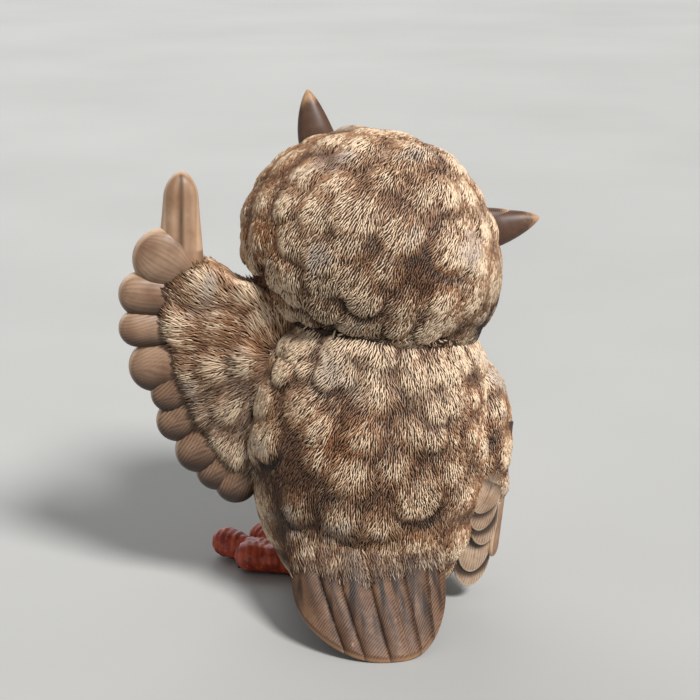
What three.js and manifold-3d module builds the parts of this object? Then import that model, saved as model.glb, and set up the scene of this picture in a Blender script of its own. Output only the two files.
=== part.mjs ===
// Owl figurine, cast in resin in sections that are pegged, pinned and glued together.
// Millimetres, +Z up. The origin is on the floor, in the middle of the felt pad under the torso.
// The owl faces -Y, so its raised left wing is at +X and its folded right wing at -X.
import * as THREE from "three";
import { mergeVertices } from "three/addons/utils/BufferGeometryUtils.js";
import Module from "manifold-3d";

const wasm = await Module();
wasm.setup();

// Driving dimensions
const glueGap = 0.3; // between any two castings that are glued
const wall = 6; // least wall of the hollow torso
const headWall = 9; // wall of the hollow head, deep enough for the eye sockets
const pegRadius = 2.6; // moulded locating pegs
const pegDepth = 4.5; // how far a peg enters its neighbour
const pegRoot = 2.5; // how far a peg starts inside its own piece
const pinRadius = 1.5; // steel pins in the heavy glue joints

const feltThickness = 1.2;
const feltRadius = 18;
const plugRadius = 12;
const plugThickness = 3;

const torsoHalfWidth = 42;
const torsoHalfDepth = 38.5;
const torsoHalfHeight = 57;
const torsoBaseCut = 6.5; // of the lower end, cut away flat for the base

const headHalfWidth = 43;
const headTaper = 0.09; // how much the crown narrows and the cheeks widen
const headHalfDepth = 39;
const headHalfHeight = 36;
const headOverlap = 28; // how deep the head sits in the torso's neck seat
const headLean = -1.6; // sideways, towards the owl's left when positive
const headForward = 4;
const headTilt = -28; // degrees about Y, towards the owl's right shoulder
const headTurn = -9; // degrees about its own vertical, towards the owl's right

const eyeRadius = 9.5;
const eyeSpacing = 31;
const eyeRise = 3;
const eyeDomeHeight = 4.5;
const irisThickness = 1;
const beakLength = 15;
const beakRadius = 5;
const beakPitch = 118; // degrees from straight back to where the cone points, down past the front
const beakHook = 5; // how far the tip bends back towards the face
const beakSink = 1.5; // of the cone's root, below the skin
const earPlace = 0.77; // how far out on the head, as a share of its half width
const earForward = 0.24; // how far in front of its middle, as a share of its half depth
const earLength = 13.5;
const earRadius = 6.6;
const earSplay = 48; // degrees from the head's own vertical
const earNod = 0.12; // forward lean of the horn, for one unit of height
const earFlatness = 0.72; // thickness of the horn for one unit of width
const earCurl = 2.2; // how far the tip bends back inwards
const earRoot = 4; // of the horn, below the head's skin before it is cut away

const armThickness = 12;
const armBevel = 3;
const fingerDepth = 5.2; // half thickness of the wing's outer feathers
const thumbLength = 33;
const thumbRadius = 5.6;
const thumbTop = 64; // of the thumb, above the shoulder
const thumbPlace = 23; // of the thumb, out from the shoulder
const fingerOverlap = 0.88; // neighbouring feathers sit this share of their half widths apart
const shoulderRise = 0.46; // above the widest ring, as a share of the torso's half height
const shoulderBack = 2; // behind the torso's middle
const wingPinRises = [0.6, -0.02]; // heights of the two pins, as shares in the same way
const wingPinStart = 0.62; // where they start, as a share of the torso's half width

const foldedWingThickness = 3.6;
const foldedTop = 0.6; // above the widest ring, as a share of the torso's half height
const foldedBottom = 0.3; // above the base, as a share of the belly's height
const foldedPegRises = [0.62, 1.25]; // the same, for its two pegs
const bladeCount = 5;
const bladeHalfLength = 20;
const bladeHalfWidth = 8.6;
const bladeHalfThickness = 2.2;
const bladeStandOff = 1.05; // the lowest feather hangs this much outside the torso's skin
const bladeTuck = 0.06; // and the highest this much less
const bladeAzimuth = 152; // degrees, where on the torso the lowest feather lies
const bladeClearance = 5.5; // from the floor to the lowest feather tip
const bladeStep = 6.4; // how far each feather tip sits above the one below it

const tailLength = 38;
const tailHalfWidth = 24;
const tailOffset = 5.5; // sideways, to the owl's left
const tailThickness = 5;
const tailBevel = 1.2;
const tailRise = 0.42; // of the fan's root line above the base, as a share of the belly's height
const tailInset = 4; // of the root line, inside the skin
const tailRootWidth = 0.86; // of the root, for one unit of the fan's width
const tailSlope = 43; // degrees below the horizontal
const tailBuried = 12; // of the fan's root, cut away where it would enter the torso
const tailGround = 1.6; // ground off under the tip, so that it stands flat on the floor

const toeRadius = 4.8;
const toes = [[-30, 22], [-2, 28], [22, 16], [180, 5]]; // degrees from the foot's heading, and length
const leftFootSplay = 56; // degrees from straight ahead
const rightFootSplay = 30;
const footPlace = 0.74; // of the ankle from the axis, as a share of the torso's smaller half size
const legRadius = 6;

const skinSides = 26; // facets around the torso and the head
const skinRings = 14;
const hollowSides = 14;
const hollowRings = 8;
const pegSides = 16;
const roundSides = 24; // around the plug, the pad and their opening
const eyeSides = 20;
const lathedSides = 12; // around the beak, the ear tufts and the legs
const profileSteps = 6; // along a lathed outline
const featherSides = 10;
const featherRings = 6;
const toeSides = 8;
const toeRings = 6;

// Places worked out from them
const baseHeight = feltThickness + glueGap;
const torsoBellyHeight = torsoHalfHeight - torsoBaseCut;
const torsoMiddle = baseHeight + torsoBellyHeight;
const torsoTop = torsoMiddle + torsoHalfHeight;
const headMiddle = new THREE.Vector3(headLean, -headForward, torsoTop + headHalfHeight - headOverlap);
const headBottom = headMiddle.z - headHalfHeight;
const degrees = THREE.MathUtils.degToRad;
const headRotation = new THREE.Euler(0, degrees(headTilt), degrees(headTurn), "YZX");
const headFrame = new THREE.Matrix4().makeRotationFromEuler(headRotation).setPosition(headMiddle);

// A geometry as a manifold-3d solid, and back
function solid(geometry) {
  const bare = geometry.index ? geometry.toNonIndexed() : geometry.clone();
  bare.deleteAttribute("normal");
  bare.deleteAttribute("uv");
  const merged = mergeVertices(bare, 1e-4);
  return new wasm.Manifold(
    new wasm.Mesh({
      numProp: 3,
      vertProperties: new Float32Array(merged.attributes.position.array),
      triVerts: new Uint32Array(merged.index.array),
    }),
  );
}

function geometryOf(manifold) {
  const mesh = manifold.getMesh();
  return new THREE.BufferGeometry()
    .setAttribute("position", new THREE.BufferAttribute(new Float32Array(mesh.vertProperties), 3))
    .setIndex(new THREE.BufferAttribute(new Uint32Array(mesh.triVerts), 1));
}

const join = (...pieces) => geometryOf(pieces.map(solid).reduce((a, b) => a.add(b)));
const cut = (piece, ...tools) => geometryOf(tools.map(solid).reduce((a, b) => a.subtract(b), solid(piece)));

// Basic shapes, each as a closed geometry
function ellipsoid(halfX, halfY, halfZ, around, down) {
  return new THREE.SphereGeometry(1, around, down).rotateX(Math.PI / 2).scale(halfX, halfY, halfZ);
}

const block = (x, y, z) => new THREE.BoxGeometry(x, y, z);

// A round bar from one point to another, which may taper
function bar(from, to, radius, sides, endRadius = radius) {
  const along = to.clone().sub(from);
  const turn = new THREE.Quaternion().setFromUnitVectors(new THREE.Vector3(0, 1, 0), along.clone().normalize());
  const middle = from.clone().add(to).multiplyScalar(0.5);
  return new THREE.CylinderGeometry(endRadius, radius, along.length(), sides)
    .applyQuaternion(turn)
    .translate(middle.x, middle.y, middle.z);
}

// A locating peg through a point of a seam: it starts inside its own piece and enters the neighbour
function peg(point, inwards, radius = pegRadius, depth = pegDepth, root = pegRoot) {
  const start = point.clone().addScaledVector(inwards, -root);
  return bar(start, point.clone().addScaledVector(inwards, depth), radius, pegSides);
}

const pegHole = (point, inwards) =>
  peg(point, inwards, pegRadius + glueGap, pegDepth + glueGap, pegRoot + glueGap);

// The torso's outer skin, grown by a margin, and the point of it that lies in a direction
function torsoSkin(grow = 0) {
  return ellipsoid(torsoHalfWidth + grow, torsoHalfDepth + grow, torsoHalfHeight + grow, skinSides, skinRings)
    .translate(0, 0, torsoMiddle);
}

function onTorso(azimuth, height) {
  const share = (height - torsoMiddle) / torsoHalfHeight;
  const ring = Math.sqrt(Math.max(0, 1 - share * share));
  const angle = degrees(azimuth);
  return new THREE.Vector3(torsoHalfWidth * ring * Math.cos(angle), torsoHalfDepth * ring * Math.sin(angle), height);
}

function torsoInwards(point) {
  const normal = new THREE.Vector3(
    point.x / torsoHalfWidth ** 2,
    point.y / torsoHalfDepth ** 2,
    (point.z - torsoMiddle) / torsoHalfHeight ** 2,
  );
  return normal.normalize().negate();
}

// The head's outer skin in its own frame, grown by a margin: an egg that is widest at the cheeks
function headSkin(grow = 0) {
  const skin = ellipsoid(headHalfWidth + grow, headHalfDepth + grow, headHalfHeight + grow, skinSides, skinRings);
  const place = skin.attributes.position;
  for (let i = 0; i < place.count; i++) {
    place.setX(i, place.getX(i) * (1 - (headTaper * place.getZ(i)) / headHalfHeight));
  }
  return skin;
}
const headSkinInPlace = (grow = 0) => headSkin(grow).applyMatrix4(headFrame);

// The point of the head's skin that faces a place in front of it, and the way in there
function onHeadFront(x, z) {
  const rest = 1 - (x / headHalfWidth) ** 2 - (z / headHalfHeight) ** 2;
  return new THREE.Vector3(x, -headHalfDepth * Math.sqrt(Math.max(0, rest)), z);
}

function headInwards(point) {
  return new THREE.Vector3(
    point.x / headHalfWidth ** 2,
    point.y / headHalfDepth ** 2,
    point.z / headHalfHeight ** 2,
  ).normalize().negate();
}

// Seats: where each glued piece meets its neighbour
const eyeSeats = [-1, 1].map((side) => {
  const face = onHeadFront((side * eyeSpacing) / 2, eyeRise);
  return { side, face, inwards: headInwards(face) };
});
const beakSeat = onHeadFront(0, eyeRise - eyeRadius);
const beakInwards = headInwards(beakSeat);
const earSeats = [-1, 1].map((side) => {
  const rise = Math.sqrt(1 - earPlace ** 2 - earForward ** 2);
  const x = side * headHalfWidth * earPlace * (1 - headTaper * rise);
  const y = -headHalfDepth * earForward;
  const z = headHalfHeight * rise;
  const outwards = new THREE.Vector3(side * Math.sin(degrees(earSplay)), -earNod, Math.cos(degrees(earSplay)));
  return { side, point: new THREE.Vector3(x, y, z), inwards: outwards.normalize().negate() };
});
const footSeats = [-1, 1].map((side) => {
  const splay = degrees(side > 0 ? leftFootSplay : rightFootSplay);
  const direction = new THREE.Vector3(side * Math.sin(splay), -Math.cos(splay), 0);
  const ankle = direction.clone().multiplyScalar(Math.min(torsoHalfWidth, torsoHalfDepth) * footPlace);
  return { side, direction, ankle: ankle.setZ(toeRadius) };
});
const legHeight = 2.4 * toeRadius; // where the leg's peg enters the belly
const tailRoot = onTorso(90, baseHeight + tailRise * torsoBellyHeight);
const foldedSeats = foldedPegRises.map((share) => onTorso(180, baseHeight + share * torsoBellyHeight));
const shoulder = onTorso(0, torsoMiddle + shoulderRise * torsoHalfHeight).add(new THREE.Vector3(0, shoulderBack, 0));
const wingPins = wingPinRises.map((share) => {
  const start = new THREE.Vector3(torsoHalfWidth * wingPinStart, shoulderBack, torsoMiddle + share * torsoHalfHeight);
  return { start, end: start.clone().setX(torsoHalfWidth + armThickness) };
});
const neckPin = {
  start: new THREE.Vector3(headLean, -headForward, headBottom - wall + 1),
  end: new THREE.Vector3(headLean, -headForward, headBottom + headWall - 1),
};

const pin = ({ start, end }) => bar(start, end, pinRadius, pegSides);

function pinHole({ start, end }) {
  const spare = end.clone().sub(start).setLength(glueGap);
  return bar(start.clone().sub(spare), end.clone().add(spare), pinRadius + glueGap, pegSides);
}

// Torso: a hollow casting, cut flat at the base, with a seat for the head and a pour opening below
function torsoShell() {
  const roof = headBottom - wall;
  const floor = baseHeight + wall;
  const half = { x: torsoHalfWidth - wall - 1, y: torsoHalfDepth - wall - 1, z: (roof - floor) / 2 };
  const hollow = ellipsoid(half.x, half.y, half.z, hollowSides, hollowRings).translate(0, 0, (roof + floor) / 2);
  const under = block(4 * torsoHalfWidth, 4 * torsoHalfDepth, 2 * torsoHalfHeight)
    .translate(0, 0, baseHeight - torsoHalfHeight);
  const opening = bar(
    new THREE.Vector3(0, 0, baseHeight - 1),
    new THREE.Vector3(0, 0, floor + wall),
    plugRadius + glueGap,
    roundSides,
  );
  return cut(
    torsoSkin(),
    under,
    hollow,
    opening,
    headSkinInPlace(glueGap),
    pinHole(neckPin),
    ...wingPins.map(pinHole),
    ...foldedSeats.map((point) => pegHole(point, torsoInwards(point))),
    tailTongue(glueGap),
    ...footSeats.map((seat) => foot(seat, glueGap)),
  );
}

// Plug: closes the pour opening, flush with the cut base
function basePlug() {
  return bar(
    new THREE.Vector3(0, 0, baseHeight),
    new THREE.Vector3(0, 0, baseHeight + plugThickness),
    plugRadius,
    roundSides,
  );
}

function feltPad() {
  return bar(new THREE.Vector3(0, 0, 0), new THREE.Vector3(0, 0, feltThickness), feltRadius, roundSides);
}

// Head: a hollow casting in its own tilted frame, vented through the neck
function headShell() {
  const [halfX, halfY, halfZ] = [headHalfWidth, headHalfDepth, headHalfHeight].map((half) => half - headWall);
  const hollow = ellipsoid(halfX, halfY, halfZ, hollowSides, hollowRings);
  const toHead = headFrame.clone().invert();
  const ventTop = new THREE.Vector3(headLean + 4 * pinRadius, -headForward, headBottom + 2 * headWall);
  const ventFoot = ventTop.clone().setZ(headBottom - headWall);
  const sockets = eyeSeats.map(({ face, inwards }) =>
    bar(
      face.clone().addScaledVector(inwards, -eyeRadius),
      face.clone().addScaledVector(inwards, eyeSink()),
      eyeRadius + glueGap,
      eyeSides,
    ),
  );
  return cut(
    headSkin(),
    hollow,
    bar(ventFoot, ventTop, 2 * pinRadius, pegSides).applyMatrix4(toHead),
    pinHole(neckPin).applyMatrix4(toHead),
    ...sockets,
    pegHole(beakSeat, beakInwards),
    ...earSeats.map(({ point, inwards }) => pegHole(point, inwards)),
  );
}

// Depth of an eye socket below the skin: the iris disc, the glue line and the dome's own edge
function eyeSink() {
  return irisThickness + 2 * glueGap + eyeEdge();
}

function eyeEdge() {
  return eyeRadius ** 2 / (2 * headHalfDepth) + 1;
}

// Iris: the painted disc behind a clear eye
function iris({ face, inwards }) {
  const back = face.clone().addScaledVector(inwards, eyeSink() - glueGap);
  return bar(back, back.clone().addScaledVector(inwards, -irisThickness), eyeRadius, eyeSides);
}

// Eye: a clear domed cabochon, lathed from its edge and its dome
function eye({ face, inwards }) {
  const profile = [new THREE.Vector2(0, 0), new THREE.Vector2(eyeRadius, 0)];
  for (let i = 0; i < profileSteps; i++) {
    const angle = ((i / profileSteps) * Math.PI) / 2;
    profile.push(new THREE.Vector2(eyeRadius * Math.cos(angle), eyeEdge() + eyeDomeHeight * Math.sin(angle)));
  }
  profile.push(new THREE.Vector2(0, eyeEdge() + eyeDomeHeight));
  const outwards = inwards.clone().negate();
  const turn = new THREE.Quaternion().setFromUnitVectors(new THREE.Vector3(0, 1, 0), outwards);
  const back = face.clone().addScaledVector(inwards, eyeEdge());
  return new THREE.LatheGeometry(profile, eyeSides).applyQuaternion(turn).translate(back.x, back.y, back.z);
}

// Beak: a short cone that hooks downwards, hung from its peg
function beak() {
  const profile = [new THREE.Vector2(0, 0)];
  for (let i = 0; i < profileSteps; i++) {
    const t = i / profileSteps;
    profile.push(new THREE.Vector2(beakRadius * Math.sqrt(1 - t * t), t * beakLength));
  }
  profile.push(new THREE.Vector2(0, beakLength));
  const hook = new THREE.LatheGeometry(profile, lathedSides).rotateX(degrees(beakPitch));
  const place = hook.attributes.position;
  for (let i = 0; i < place.count; i++) {
    const share = Math.max(0, -place.getZ(i) / beakLength);
    place.setY(i, place.getY(i) + beakHook * share * share);
  }
  const shape = hook.translate(0, beakSeat.y + beakSink, beakSeat.z + beakRadius / 2);
  return join(cut(shape, headSkin(glueGap)), peg(beakSeat, beakInwards));
}

// Ear tuft: a tapered horn that curls back a little, on a peg
function earTuft({ side, point, inwards }) {
  const outwards = inwards.clone().negate();
  const profile = [new THREE.Vector2(0, -earRoot), new THREE.Vector2(earRadius, -earRoot)];
  for (let i = 0; i < profileSteps; i++) {
    const t = i / profileSteps;
    profile.push(new THREE.Vector2(earRadius * (1 - t ** 1.7), (earLength + earRoot) * (0.2 + 0.8 * t) - earRoot));
  }
  profile.push(new THREE.Vector2(0, earLength));
  const horn = new THREE.LatheGeometry(profile, lathedSides).scale(1, 1, earFlatness);
  const place = horn.attributes.position;
  for (let i = 0; i < place.count; i++) {
    const share = Math.max(0, place.getY(i) / earLength);
    place.setX(i, place.getX(i) - side * earCurl * share * share);
  }
  const turn = new THREE.Quaternion().setFromUnitVectors(new THREE.Vector3(0, 1, 0), outwards);
  const placed = horn.applyQuaternion(turn).translate(point.x, point.y, point.z);
  return join(cut(placed, headSkin(glueGap)), peg(point, inwards, pegRadius, pegDepth, earRoot));
}

// Raised wing: a fur-covered arm in the X-Z plane with rounded feathers down its outer edge and one upright thumb
const armOutline = [
  [-24, 20], [4, 27], [13, 36], [17, 41], [28, 41], [32, 30], [31, 19], [28, 8],
  [25, -6], [22, -18], [14, -28], [5, -38], [-8, -42], [-24, -34],
].map(([x, z]) => new THREE.Vector2(x, z));
const featherEdge = new THREE.CatmullRomCurve3(
  [[31, 38], [36, 24], [36, 14], [32, 4], [29, -8], [26, -17], [21.5, -26], [15.5, -34], [8, -41]]
    .map(([x, z]) => new THREE.Vector3(x, 0, z)),
);
const featherHalfWidths = [8.8, 6.6, 4.9, 7.2, 5.2, 5, 5.2, 5.2, 4.8];
const featherReach = [8.2, 8, 7.4, 8.4, 6.6, 6.4, 6.6, 6.4, 6];

function raisedWing() {
  const outline = new THREE.Shape(new THREE.SplineCurve([...armOutline, armOutline[0]]).getPoints(32).slice(0, -1));
  const arm = new THREE.ExtrudeGeometry(outline, {
    depth: armThickness - 2 * armBevel,
    bevelThickness: armBevel,
    bevelSize: armBevel,
    bevelOffset: -armBevel,
    bevelSegments: 1,
  }).rotateX(Math.PI / 2).translate(0, armThickness / 2 - armBevel, 0);
  const feathers = [];
  let travelled = 0;
  featherHalfWidths.forEach((halfWidth, i) => {
    if (i > 0) travelled += fingerOverlap * (featherHalfWidths[i - 1] + halfWidth);
    const t = Math.min(1, travelled / featherEdge.getLength());
    const at = featherEdge.getPointAt(t);
    const along = featherEdge.getTangentAt(t);
    const turn = new THREE.Matrix4().makeRotationY(Math.atan2(along.x, along.z));
    const feather = ellipsoid(featherReach[i], fingerDepth, halfWidth, featherSides, featherRings);
    feathers.push(feather.applyMatrix4(turn.setPosition(at)));
  });
  const whole = join(arm, ...feathers, thumb()).translate(shoulder.x, shoulder.y, shoulder.z);
  return cut(whole, torsoSkin(glueGap), headSkinInPlace(glueGap), ...wingPins.map(pinHole));
}

// The upright feather: a round bar, flattened front to back, with a domed end
function thumb() {
  const foot = new THREE.Vector3(thumbPlace, 0, thumbTop - thumbLength);
  const end = new THREE.Vector3(thumbPlace, 0, thumbTop - thumbRadius);
  const tipRadius = 0.78 * thumbRadius;
  const dome = ellipsoid(tipRadius, tipRadius, thumbRadius, featherSides, featherRings).translate(end.x, 0, end.z);
  return join(bar(foot, end, 1.2 * thumbRadius, pegSides, tipRadius), dome).scale(1, 0.8, 1);
}

const [toX, toY, toZ] = [[1, 0, 0], [0, 1, 0], [0, 0, 1]].map((axis) => new THREE.Vector3(...axis));

// Folded wing: a shell on the torso's right side, with layered feathers that end beside the tail
function foldedWing() {
  const side = new THREE.ExtrudeGeometry(foldedOutline(), { depth: 2 * torsoHalfWidth, bevelEnabled: false })
    .applyMatrix4(new THREE.Matrix4().makeBasis(toY, toZ, toX))
    .translate(-2 * torsoHalfWidth, 0, 0);
  const cover = geometryOf(solid(torsoSkin(foldedWingThickness)).intersect(solid(side)));
  const blades = Array.from({ length: bladeCount }, (_, i) => blade(i));
  const body = cut(join(cover, ...blades), torsoSkin(glueGap), headSkinInPlace(glueGap), tailBlank(glueGap));
  return join(body, ...foldedSeats.map((point) => peg(point, torsoInwards(point))));
}

// The cover's outline, seen from the owl's right, as places front to back and heights
function foldedOutline() {
  const top = torsoMiddle + foldedTop * torsoHalfHeight;
  const bottom = baseHeight + foldedBottom * torsoBellyHeight;
  const middle = (top + bottom) / 2;
  const points = [
    [-4, top], [12, top - 4], [26, middle + 6], [27, bottom + 8], [18, bottom - 2],
    [4, bottom + 4], [-14, middle - 4], [-18, middle + 16], [-4, top],
  ].map(([y, z]) => new THREE.Vector2(y, z));
  return new THREE.Shape(new THREE.SplineCurve(points).getPoints(30).slice(0, -1));
}

// One long feather of the folded wing, counted from the lowest, tucked in towards the tail
function blade(i) {
  const share = i / (bladeCount - 1);
  const halfLength = bladeHalfLength * (1 - 0.4 * share);
  const height = bladeClearance + bladeStep * i + halfLength;
  const standOff = bladeStandOff - bladeTuck * share;
  const middle = onTorso(bladeAzimuth + 5 * share, height).multiply(new THREE.Vector3(standOff, standOff, 1));
  const twist = new THREE.Matrix4().makeRotationZ(degrees(8 * share - 24));
  const tuck = new THREE.Matrix4().makeRotationY(degrees(-13));
  const lean = new THREE.Matrix4().makeRotationX(degrees(10));
  const frame = twist.multiply(tuck).multiply(lean).setPosition(middle);
  const halfWidth = bladeHalfWidth - 0.5 * i;
  return ellipsoid(bladeHalfThickness, halfWidth, halfLength, featherSides, featherRings).applyMatrix4(frame);
}

// Tail: a rounded fan that slopes from the rump down to the floor, on a flat tongue
function tailFan() {
  const underfloor = block(6 * tailHalfWidth, 6 * tailLength, 20).translate(0, 0, -10);
  return join(cut(tailBlank(0), torsoSkin(glueGap), underfloor), tailTongue(0));
}

function tailBlank(grow) {
  const outline = new THREE.Shape();
  const square = tailLength - tailHalfWidth * 0.95;
  const rootHalfWidth = tailRootWidth * tailHalfWidth;
  outline.moveTo(-rootHalfWidth, -tailBuried);
  outline.lineTo(rootHalfWidth, -tailBuried);
  outline.quadraticCurveTo(tailHalfWidth, 4, tailHalfWidth, square);
  outline.absellipse(0, square, tailHalfWidth, tailLength - square, 0, Math.PI, false);
  outline.quadraticCurveTo(-tailHalfWidth, 4, -rootHalfWidth, -tailBuried);
  const run = tailReach();
  return new THREE.ExtrudeGeometry(outline, {
    depth: tailThickness - 2 * tailBevel + 2 * grow,
    bevelThickness: tailBevel,
    bevelSize: tailBevel,
    bevelOffset: grow - tailBevel,
    bevelSegments: 1,
    curveSegments: 12,
  })
    .translate(0, 0, tailBevel - tailThickness / 2 - grow)
    .rotateX(degrees(-tailSlope))
    .translate(run.x, run.y, run.z);
}

// Where the fan's root line lies, so that its tip comes down to the floor
function tailReach() {
  const thick = (tailThickness / 2) * Math.cos(degrees(tailSlope));
  const drop = tailLength * Math.sin(degrees(tailSlope)) + thick - tailGround;
  return new THREE.Vector3(tailOffset, tailRoot.y - tailInset, drop);
}

function tailTongue(margin) {
  const slope = new THREE.Matrix4().makeRotationX(degrees(-tailSlope));
  const size = pegDepth + wall;
  const run = tailReach();
  return block(tailHalfWidth + 2 * margin, size + 2 * margin, tailThickness - 2 * tailBevel + 2 * margin)
    .applyMatrix4(slope)
    .translate(run.x, run.y + 1, run.z - 1);
}

// Foot: three toes and a heel around an ankle, under a short leg that enters the belly. Only the foot's
// own outline is cut by the torso, so a grown copy of it makes the recess.
function foot({ side, direction, ankle }, grow = 0) {
  const heading = Math.atan2(direction.y, direction.x);
  const radius = toeRadius + grow;
  const digits = toes.map(([turn, length]) => {
    const angle = heading + side * degrees(turn);
    const tip = ankle.clone().add(new THREE.Vector3(length * Math.cos(angle), length * Math.sin(angle), 0));
    const end = ellipsoid(radius, radius, radius, toeSides, toeRings).translate(tip.x, tip.y, tip.z);
    return join(bar(ankle, tip, toeRadius * 0.9 + grow, toeSides, toeRadius * 0.86 + grow), end);
  });
  const legTop = ankle.clone().setZ(legHeight + toeRadius + grow);
  const legFoot = ankle.clone().setZ(grow > 0 ? -1 : 0.6 * toeRadius);
  return join(...digits, bar(legFoot, legTop, legRadius + grow, lathedSides, legRadius - 1 + grow));
}

// The assembly
const resin = { roughness: 0.62, metalness: 0 };
const plumage = new THREE.MeshStandardMaterial({ color: 0x8d735a, ...resin });
const quill = new THREE.MeshStandardMaterial({ color: 0x8a6b55, roughness: 0.5, metalness: 0 });
const horn = new THREE.MeshStandardMaterial({ color: 0x6a5148, roughness: 0.5, metalness: 0 });
const footResin = new THREE.MeshStandardMaterial({ color: 0xb1492c, roughness: 0.42, metalness: 0 });
const beakResin = new THREE.MeshStandardMaterial({ color: 0xc98a2e, roughness: 0.4, metalness: 0 });
const clear = new THREE.MeshStandardMaterial({ color: 0xf2f2ee, roughness: 0.05, metalness: 0 });
const irisPaint = new THREE.MeshStandardMaterial({ color: 0xd9921a, roughness: 0.4, metalness: 0 });
const steel = new THREE.MeshStandardMaterial({ color: 0xb4b6ba, roughness: 0.35, metalness: 1 });
const felt = new THREE.MeshStandardMaterial({ color: 0x1f3a2b, roughness: 0.95, metalness: 0 });

const owl = new THREE.Group();
const head = new THREE.Group();
head.position.copy(headMiddle);
head.rotation.copy(headRotation);
owl.add(head);

function addTo(group, name, geometry, material) {
  const mesh = new THREE.Mesh(geometry, material);
  mesh.name = name;
  group.add(mesh);
}

addTo(owl, "torso_shell", torsoShell(), plumage);
addTo(owl, "raised_left_wing", raisedWing(), plumage);
addTo(owl, "folded_right_wing", foldedWing(), quill);
addTo(owl, "tail_fan", tailFan(), quill);
footSeats.forEach((seat) => addTo(owl, `${seat.side > 0 ? "left" : "right"}_foot`, foot(seat), footResin));
addTo(owl, "neck_pin", pin(neckPin), steel);
wingPins.forEach((place, i) => addTo(owl, `wing_pin_${i + 1}`, pin(place), steel));
addTo(owl, "base_plug", basePlug(), plumage);
addTo(owl, "felt_pad", feltPad(), felt);

addTo(head, "head_shell", headShell(), plumage);
eyeSeats.forEach((seat) => {
  const side = seat.side > 0 ? "left" : "right";
  addTo(head, `${side}_iris_disc`, iris(seat), irisPaint);
  addTo(head, `${side}_eye`, eye(seat), clear);
});
earSeats.forEach((seat) => addTo(head, `${seat.side > 0 ? "left" : "right"}_ear_tuft`, earTuft(seat), horn));
addTo(head, "beak", beak(), beakResin);

export default owl;
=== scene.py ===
"""An owl figurine in carved and painted resin, waving with its left wing.

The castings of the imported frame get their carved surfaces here: skins with hanging clumps of plumage,
thousands of cut strokes laid over them, and smooth feathers with barbs. Metres, +Z up, the owl faces -Y.
"""

from __future__ import annotations

import logging
import math
from dataclasses import dataclass
from enum import Enum
from typing import Any, Sequence

import bmesh
import bpy
import numpy as np
from mathutils import Matrix, Vector


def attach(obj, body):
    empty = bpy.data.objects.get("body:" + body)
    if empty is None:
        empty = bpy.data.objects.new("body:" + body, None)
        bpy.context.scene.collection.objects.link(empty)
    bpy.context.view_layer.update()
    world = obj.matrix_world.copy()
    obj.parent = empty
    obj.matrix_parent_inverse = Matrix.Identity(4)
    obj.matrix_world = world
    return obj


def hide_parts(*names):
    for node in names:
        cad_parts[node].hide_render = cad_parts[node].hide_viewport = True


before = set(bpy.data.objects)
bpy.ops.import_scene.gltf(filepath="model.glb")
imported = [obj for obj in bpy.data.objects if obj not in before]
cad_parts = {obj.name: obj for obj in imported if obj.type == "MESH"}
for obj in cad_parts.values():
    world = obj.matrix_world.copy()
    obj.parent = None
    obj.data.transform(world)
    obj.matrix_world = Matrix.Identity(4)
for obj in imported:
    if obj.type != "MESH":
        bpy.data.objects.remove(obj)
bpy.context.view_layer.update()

LOG = logging.getLogger("owl")
MM = 0.001
UP = np.array([0.0, 0.0, 1.0])
BACK_AND_FRONT = ("back_strokes", "front_strokes")


class Slot(Enum):
    """The material slots of the record."""

    PLUMAGE = "plumage"
    QUILL = "quill"
    HORN = "horn"
    FOOT = "foot"
    BEAK = "beak"
    EYE = "eye"
    IRIS = "iris"
    PIN = "pin"
    CASTING = "casting"
    FELT = "felt"


class Side(Enum):
    """A side of the owl. The value is the sign of its X."""

    LEFT = 1
    RIGHT = -1


class Barbs(Enum):
    """How the fine lines run on a smooth feather."""

    HERRINGBONE = "herringbone"
    FAN = "fan"
    ACROSS = "across"
    LENGTHWISE = "lengthwise"


# ---------------------------------------------------------------------------------------------------
# Numbers and meshes


def smooth(values: np.ndarray | float) -> np.ndarray:
    """Eases values from 0 to 1, clamped outside that range."""
    t = np.clip(values, 0.0, 1.0)
    return t * t * (3.0 - 2.0 * t)


def unit(vectors: np.ndarray) -> np.ndarray:
    """Scales vectors to length one."""
    return vectors / np.maximum(np.linalg.norm(vectors, axis=-1, keepdims=True), 1e-12)


def tangent(vectors: np.ndarray, normals: np.ndarray) -> np.ndarray:
    """Takes away what points along the normals."""
    return vectors - (vectors * normals).sum(-1, keepdims=True) * normals


def waves(points: np.ndarray, length: float, seed: int) -> np.ndarray:
    """Adds a few plane waves into a smooth wobble.

    Args:
        points: places in space.
        length: size of the wobble's bumps.
        seed: picks the waves.

    Returns:
        A value from about -1 to 1 for each point.
    """
    rng = np.random.default_rng(seed)
    total = np.zeros(len(points))
    count = 7
    for _ in range(count):
        way = unit(rng.normal(size=3)) * 2.0 * math.pi / (length * rng.uniform(0.7, 1.5))
        total += np.sin(points @ way + rng.uniform(0.0, 2.0 * math.pi))
    return total / math.sqrt(count * 2.0)


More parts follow.
